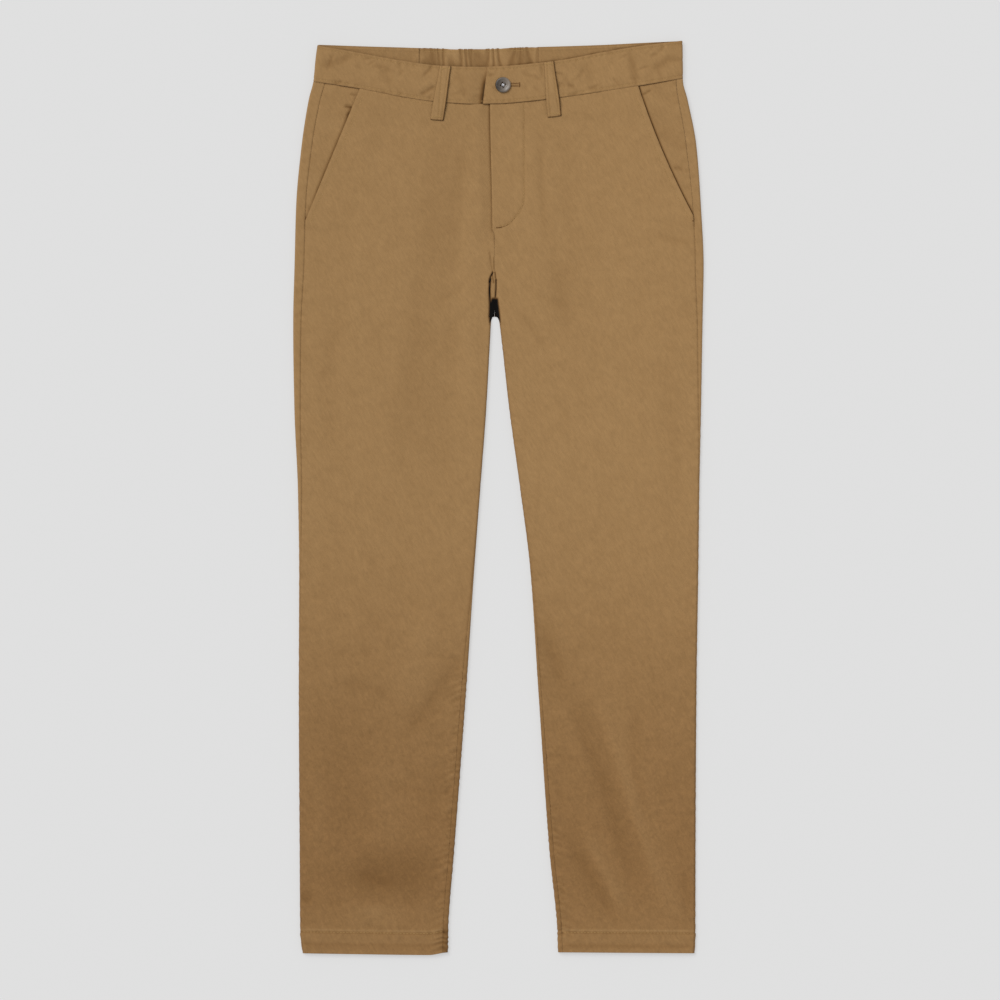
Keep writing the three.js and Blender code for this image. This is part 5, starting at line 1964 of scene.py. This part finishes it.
@dataclass
class WaistButton:
    """The four-hole waist button, its thread and its worked buttonhole."""

    x: float = 5.2
    y: float = 474.0
    radius: float = 8.9
    thick: float = 3.0
    floor: float = 2.1
    hole: float = 0.85
    ring: float = 2.6
    turn: float = 0.24
    segments: int = 96
    buttonhole: tuple[float, float] = (1.0, 24.2)

    def profile(self) -> list[tuple[float, float]]:
        """The disc's section, from the middle of its back round the rim to the middle of its face.

        Returns:
            Radius and height of the section's points.
        """
        r, t, f = self.radius, self.thick, self.floor
        rim = [(r - 1.5 + 1.5 * math.sin(a), 1.5 - 1.5 * math.cos(a)) for a in np.linspace(0, math.pi, 13)]
        dish = [(r - 1.9, t - 0.04), (r - 2.3, t - 0.16), (r - 3.7, f + 0.16), (r - 4.2, f + 0.02)]
        return [(0.0, 0.0), *rim, *dish, (0.0, f)]

    def holes(self) -> list[Vector]:
        """Where the four holes are from the disc's axis."""
        angles = (self.turn + k * math.pi / 2 for k in range(4))
        return [Vector((math.cos(a), math.sin(a), 0)) * self.ring for a in angles]

    def disc(self, base: Vector, finish: bpy.types.Material) -> bpy.types.Object:
        """Makes the disc and cuts its four holes.

        Args:
            base: the middle of its back.
            finish: its finish.

        Returns:
            The disc.
        """
        profile = self.profile()
        points, faces = [], []
        for r, z in profile[1:-1]:
            for k in range(self.segments):
                a = 2 * math.pi * k / self.segments
                points.append((base.x + r * math.cos(a), base.y + r * math.sin(a), base.z + z))
        n, rings = self.segments, len(profile) - 2
        for ring in range(rings - 1):
            for k in range(n):
                a, b = ring * n + k, ring * n + (k + 1) % n
                faces.append((a, b, b + n, a + n))
        faces.append(tuple(reversed(range(n))))
        faces.append(tuple((rings - 1) * n + k for k in range(n)))
        disc = mesh_object("waist_button_disc", points, faces, finish)
        drills = []
        for way in self.holes():
            spot = base + way + Vector((0, 0, self.thick / 2))
            bpy.ops.mesh.primitive_cylinder_add(
                vertices=24, radius=self.hole * MM, depth=3 * self.thick * MM, location=spot * MM)
            drills.append(bpy.context.object)
        for drill in drills:
            cut = disc.modifiers.new("hole", "BOOLEAN")
            cut.operation, cut.object, cut.solver = "DIFFERENCE", drill, "EXACT"
        mesh = bpy.data.meshes.new_from_object(disc.evaluated_get(bpy.context.evaluated_depsgraph_get()))
        disc.modifiers.clear()
        disc.data = mesh
        for drill in drills:
            bpy.data.objects.remove(drill, do_unlink=True)
        return disc

    def build(self, surfaces: Sequence[BVHTree], finishes: Finishes) -> None:
        """Makes the button, the crossed threads in it and the buttonhole beside it.

        Args:
            surfaces: the cloth that it is sewn to.
            finishes: the garment's finishes.
        """
        sewing = Stitching(surfaces)
        seat = sewing.touch(self.x, self.y, Facing.UP)
        base = Vector((self.x, self.y, seat.z + 0.35))
        disc = self.disc(base, finishes.resin)
        dress(disc, ["waist_button"])
        middle = base + Vector((0, 0, self.floor + 0.1))
        for way in self.holes()[:2]:
            beside = Vector((-way.y, way.x, 0)).normalized() * 0.3
            for offset in (-beside, beside):
                sewing.one(middle - way * 0.72 + offset, middle + way * 0.72 + offset, Facing.UP, 0.6)
        sewing.build("button_thread", finishes.button_thread)
        worked = Stitching(surfaces)
        start, end = self.buttonhole
        y_hole = self.y + 0.2
        for number in range(int((end - start) / 0.8)):
            x = start + number * 0.8
            for side in (-1, 1):
                a = worked.touch(x, y_hole + side * 0.4, Facing.UP)
                b = worked.touch(x, y_hole + side * (2.4 + 0.5 * math.sin(2.6 * number)), Facing.UP)
                if a is not None and b is not None:
                    worked.one(a, b, Facing.UP, 0.6)
        worked.bartack(end, y_hole, math.pi / 2, 4.8)
        worked.build("buttonhole_thread", finishes.gimp)


@dataclass
class Zip:
    """The closed zip under the fly: the tape is the solid, and this adds its teeth."""

    node: str = "fly_zip"
    tooth: tuple[float, float, float] = (2.4, 0.9, 0.7)
    pitch: float = 1.6

    def build(self, finishes: Finishes) -> None:
        """Makes the teeth along the middle of the tape and dresses the tape.

        Args:
            finishes: the garment's finishes.
        """
        low, high = (Vector(c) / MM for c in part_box(self.node))
        points, faces = [], []
        w, d, h = (size / 2 for size in self.tooth)
        corners = [(a, b, c) for c in (-1, 1) for a, b in ((-1, -1), (1, -1), (1, 1), (-1, 1))]
        sides = [(3, 2, 1, 0), (4, 5, 6, 7), (0, 1, 5, 4), (1, 2, 6, 5), (2, 3, 7, 6), (3, 0, 4, 7)]
        tree = BVHTree.FromObject(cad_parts[self.node], bpy.context.evaluated_depsgraph_get())
        for number in range(int((high.y - low.y - 8) / self.pitch)):
            y = low.y + 4 + number * self.pitch
            x = fly_edge(np.array(y)) + FLY_UNDERLAP + SEAM_GAP + 13 + (0.7 if number % 2 else -0.7)
            hit = tree.ray_cast(Vector((float(x), y, 60.0)) * MM, Vector((0, 0, -1)))[0]
            if hit is None:
                continue
            spot = hit / MM
            base = len(points)
            points.extend((spot.x + a * w, spot.y + b * d, spot.z - 0.15 + (c + 1) * h) for a, b, c in corners)
            faces.extend(tuple(base + k for k in side) for side in sides)
        teeth = mesh_object("fly_zip_teeth", points, faces, finishes.resin)
        dress(teeth)
        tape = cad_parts[self.node]
        tape.data.materials.clear()
        tape.data.materials.append(finishes.tape)


@dataclass
class Trousers:
    """The whole garment."""

    finishes: Finishes
    surfaces: dict[str, BVHTree] = field(default_factory=dict)
    loops: list[BeltLoop] = field(default_factory=list)

    def piece(self, name: str, cloth: Cloth) -> None:
        """Makes a piece of cloth that stands for the solid of its name, and keeps its outer face for what is sewn
        on it.

        Args:
            name: its name.
            cloth: its two faces.
        """
        obj = cloth.build(f"{name}_twill", self.finishes.twill)
        dress(obj, [name])
        self.surfaces[name] = cloth.surface()

    def panels(self) -> None:
        """Makes the backs, the pocket facings and the fronts."""
        for leg in (RIGHT_LEG, LEFT_LEG):
            side = leg.side.name.lower()
            self.piece(f"back_{side}", Back(leg).cloth())
            self.piece(f"pocket_facing_{side}", PocketFacing(leg).cloth())
            self.piece(f"front_{side}", Front(leg).cloth())

    def waist(self) -> None:
        """Makes the waistband and the belt loops."""
        self.piece("waistband_back", ElasticBack().cloth())
        self.piece("waistband_right", Waistband(RIGHT_LEG, ELASTIC_FROM).cloth())
        self.piece("waistband_left", Waistband(LEFT_LEG, ELASTIC_TO).cloth())
        loops = (
            (BeltLoop("belt_loop_front_right", -60.8, -70.8, 13.0, 15.0,
                      seams=((-64.6, -69.6), (-57.2, -65.9))), "waistband_right"),
            (BeltLoop("belt_loop_front_left", 58.0, 64.5, 11.5, 15.5,
                      seams=((55.6, 59.6), (61.2, 69.6))), "waistband_left"),
            *((BackLoop(f"belt_loop_back_{name}", x, x, 13, 13, seams=((x - 4, x - 4), (x + 4, x + 4))), band)
              for name, x, band in (("right", -132, "waistband_right"), ("left", 104, "waistband_left"),
                                    ("centre", BACK_CENTRE_TOP, "waistband_back"))),
        )
        for loop, band in loops:
            self.piece(loop.name, loop.cloth())
        self.loops = [loop for loop, _ in loops]

    def sewing(self) -> None:
        """Sews the topstitching, hems and bartacks."""
        up = Stitching([self.surfaces[n] for n in ("front_right", "front_left")])
        for leg in (RIGHT_LEG, LEFT_LEG):
            inset = leg.side.value * Front(leg).mouth_stitch
            m = leg.mouth
            slope = math.hypot(m.x_top - m.x_end, m.y_top - m.y_end) / (m.y_top - m.y_end)
            up.row([(float(leg.mouth_x(y)) - inset * slope, y) for y in np.linspace(m.y_top + 2, m.y_end, 30)])
            up.row([(x, float(hem_line(x))) for x in leg.hem_places()])
        up.row(FLY_STITCH)
        up.row([(x, float(front_seam(x)) - 3.4) for x in np.linspace(-111, -75, 9)])
        up.build("front_topstitching", self.finishes.thread)
        tacks = Stitching([self.surfaces[n] for n in ("front_right", "front_left", "back_right", "back_left")])
        tacks.bartack(0.8, 310.4, math.radians(4), 6.4)
        tacks.row(((4.4, 310.9), (8.2, 312.4), (12.0, 314.3)))
        tacks.bartack(-221.0, 324.5, math.radians(84), 13.0)
        tacks.bartack(223.6, 316.0, math.radians(100), 5.0)
        tacks.build("front_bartacks", self.finishes.gimp)
        down = Stitching([self.surfaces[n] for n in ("back_right", "back_left")])
        for leg in (RIGHT_LEG, LEFT_LEG):
            down.row([(x, HEM_DEPTH + hem_edge(x)) for x in leg.hem_places()], Facing.DOWN)
        down.build("back_hem_stitching", self.finishes.thread)
        self.band_sewing()
        self.loop_sewing()

    def band_sewing(self) -> None:
        """Sews the waistband's two edges, on the front, on the inside of the back and underneath."""
        names = ("waistband_right", "waistband_left", "waistband_back")
        band = Stitching([self.surfaces[n] for n in names])
        inset = Waistband(RIGHT_LEG, ELASTIC_FROM).edge_stitch / BACK_BAND_WIDTH
        for low, high in ((-206.0, mix(LAP_EDGE_BOTTOM, LAP_EDGE_TOP, 0.5) - 2), (-13.0, 207.0)):
            xs = np.linspace(low, high, 60)
            for up in (inset, 1 - inset):
                band.row([(x, float(band_y(x, up, 0.0))) for x in xs])
        xs = np.linspace(-200.0, 200.0, 90)
        band.row([(x, float(band_y(x, 1 - inset, 1.0))) for x in xs if back_top(x) - front_top(x) > 6])
        for up in (inset, 1 - inset):
            band.row([(x, float(band_y(x, up, 1.0))) for x in xs], Facing.DOWN)
        band.row([(float(mix(LAP_EDGE_BOTTOM, LAP_EDGE_TOP, up)) + 3.2, float(band_y(-15.0, up, 0.0)))
                  for up in (0.08, 0.92)])
        band.build("waistband_topstitching", self.finishes.thread)

    def loop_sewing(self) -> None:
        """Sews the loops' edges and tacks their ends."""
        for name, way in (("front", Facing.UP), ("back", Facing.DOWN)):
            loops = [loop for loop in self.loops if name in loop.name]
            sewn = Stitching([self.surfaces[loop.name] for loop in loops], stitch=2.2, gap=0.6)
            for loop in loops:
                low, high = (Vector(c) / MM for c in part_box(loop.name))
                for top, foot in loop.seams:
                    sewn.row([(top, high.y - 3), (foot, low.y + 3)], way)
                sewn.bartack(loop.x_top, high.y - 3.2, 0.0, loop.top_width - 3.0, way)
                sewn.bartack(loop.x_foot, low.y + 3.2, 0.0, 10.0, way)
            sewn.build(f"{name}_loop_stitching", self.finishes.thread)

    def build(self) -> None:
        """Makes the garment from the back up."""
        self.panels()
        self.waist()
        self.sewing()
        WaistButton().build([self.surfaces["waistband_left"], self.surfaces["waistband_right"]], self.finishes)
        Zip().build(self.finishes)


@dataclass
class Studio:
    """A lit frosted table, soft light from the upper left and a camera straight above."""

    table_size: float = 80.0
    distance: float = 6.388
    aim: tuple[float, float] = (0.0017, -0.0026)
    lens: float = 200.0
    sun_strength: float = 1.72
    sun_softness: float = math.radians(34)
    sun_from: tuple[float, float, float] = (-0.56, 0.56, 1.0)
    sky: float = 0.57

    def build(self, finishes: Finishes) -> None:
        """Makes the table, the light and the camera.

        Args:
            finishes: the garment's finishes.
        """
        half = self.table_size / 2 / MM
        corners = [(-half, -half, -0.3), (half, -half, -0.3), (half, half, -0.3), (-half, half, -0.3)]
        table = mesh_object("backdrop", corners, [(0, 1, 2, 3)], finishes.table)
        sun = bpy.data.objects.new("softbox", bpy.data.lights.new("softbox", "SUN"))
        sun.data.energy = self.sun_strength
        sun.data.angle = self.sun_softness
        sun.rotation_euler = Vector(self.sun_from).to_track_quat("Z", "Y").to_euler()
        bpy.context.scene.collection.objects.link(sun)
        world = bpy.data.worlds.new("studio_air")
        world.use_nodes = True
        world.node_tree.nodes["Background"].inputs["Color"].default_value = (1.0, 1.0, 1.0, 1.0)
        world.node_tree.nodes["Background"].inputs["Strength"].default_value = self.sky
        bpy.context.scene.world = world
        bpy.context.scene.view_settings.view_transform = "Standard"
        camera = bpy.data.objects.new("camera", bpy.data.cameras.new("camera"))
        camera.data.lens = self.lens
        camera.location = (*self.aim, self.distance)
        bpy.context.scene.collection.objects.link(camera)
        bpy.context.scene.camera = camera


def main() -> None:
    """Builds the garment and its studio."""
    logging.basicConfig(level=logging.INFO, format="%(message)s")
    finishes = Finishes()
    Studio().build(finishes)
    Trousers(finishes).build()


if __name__ == "__main__":
    main()
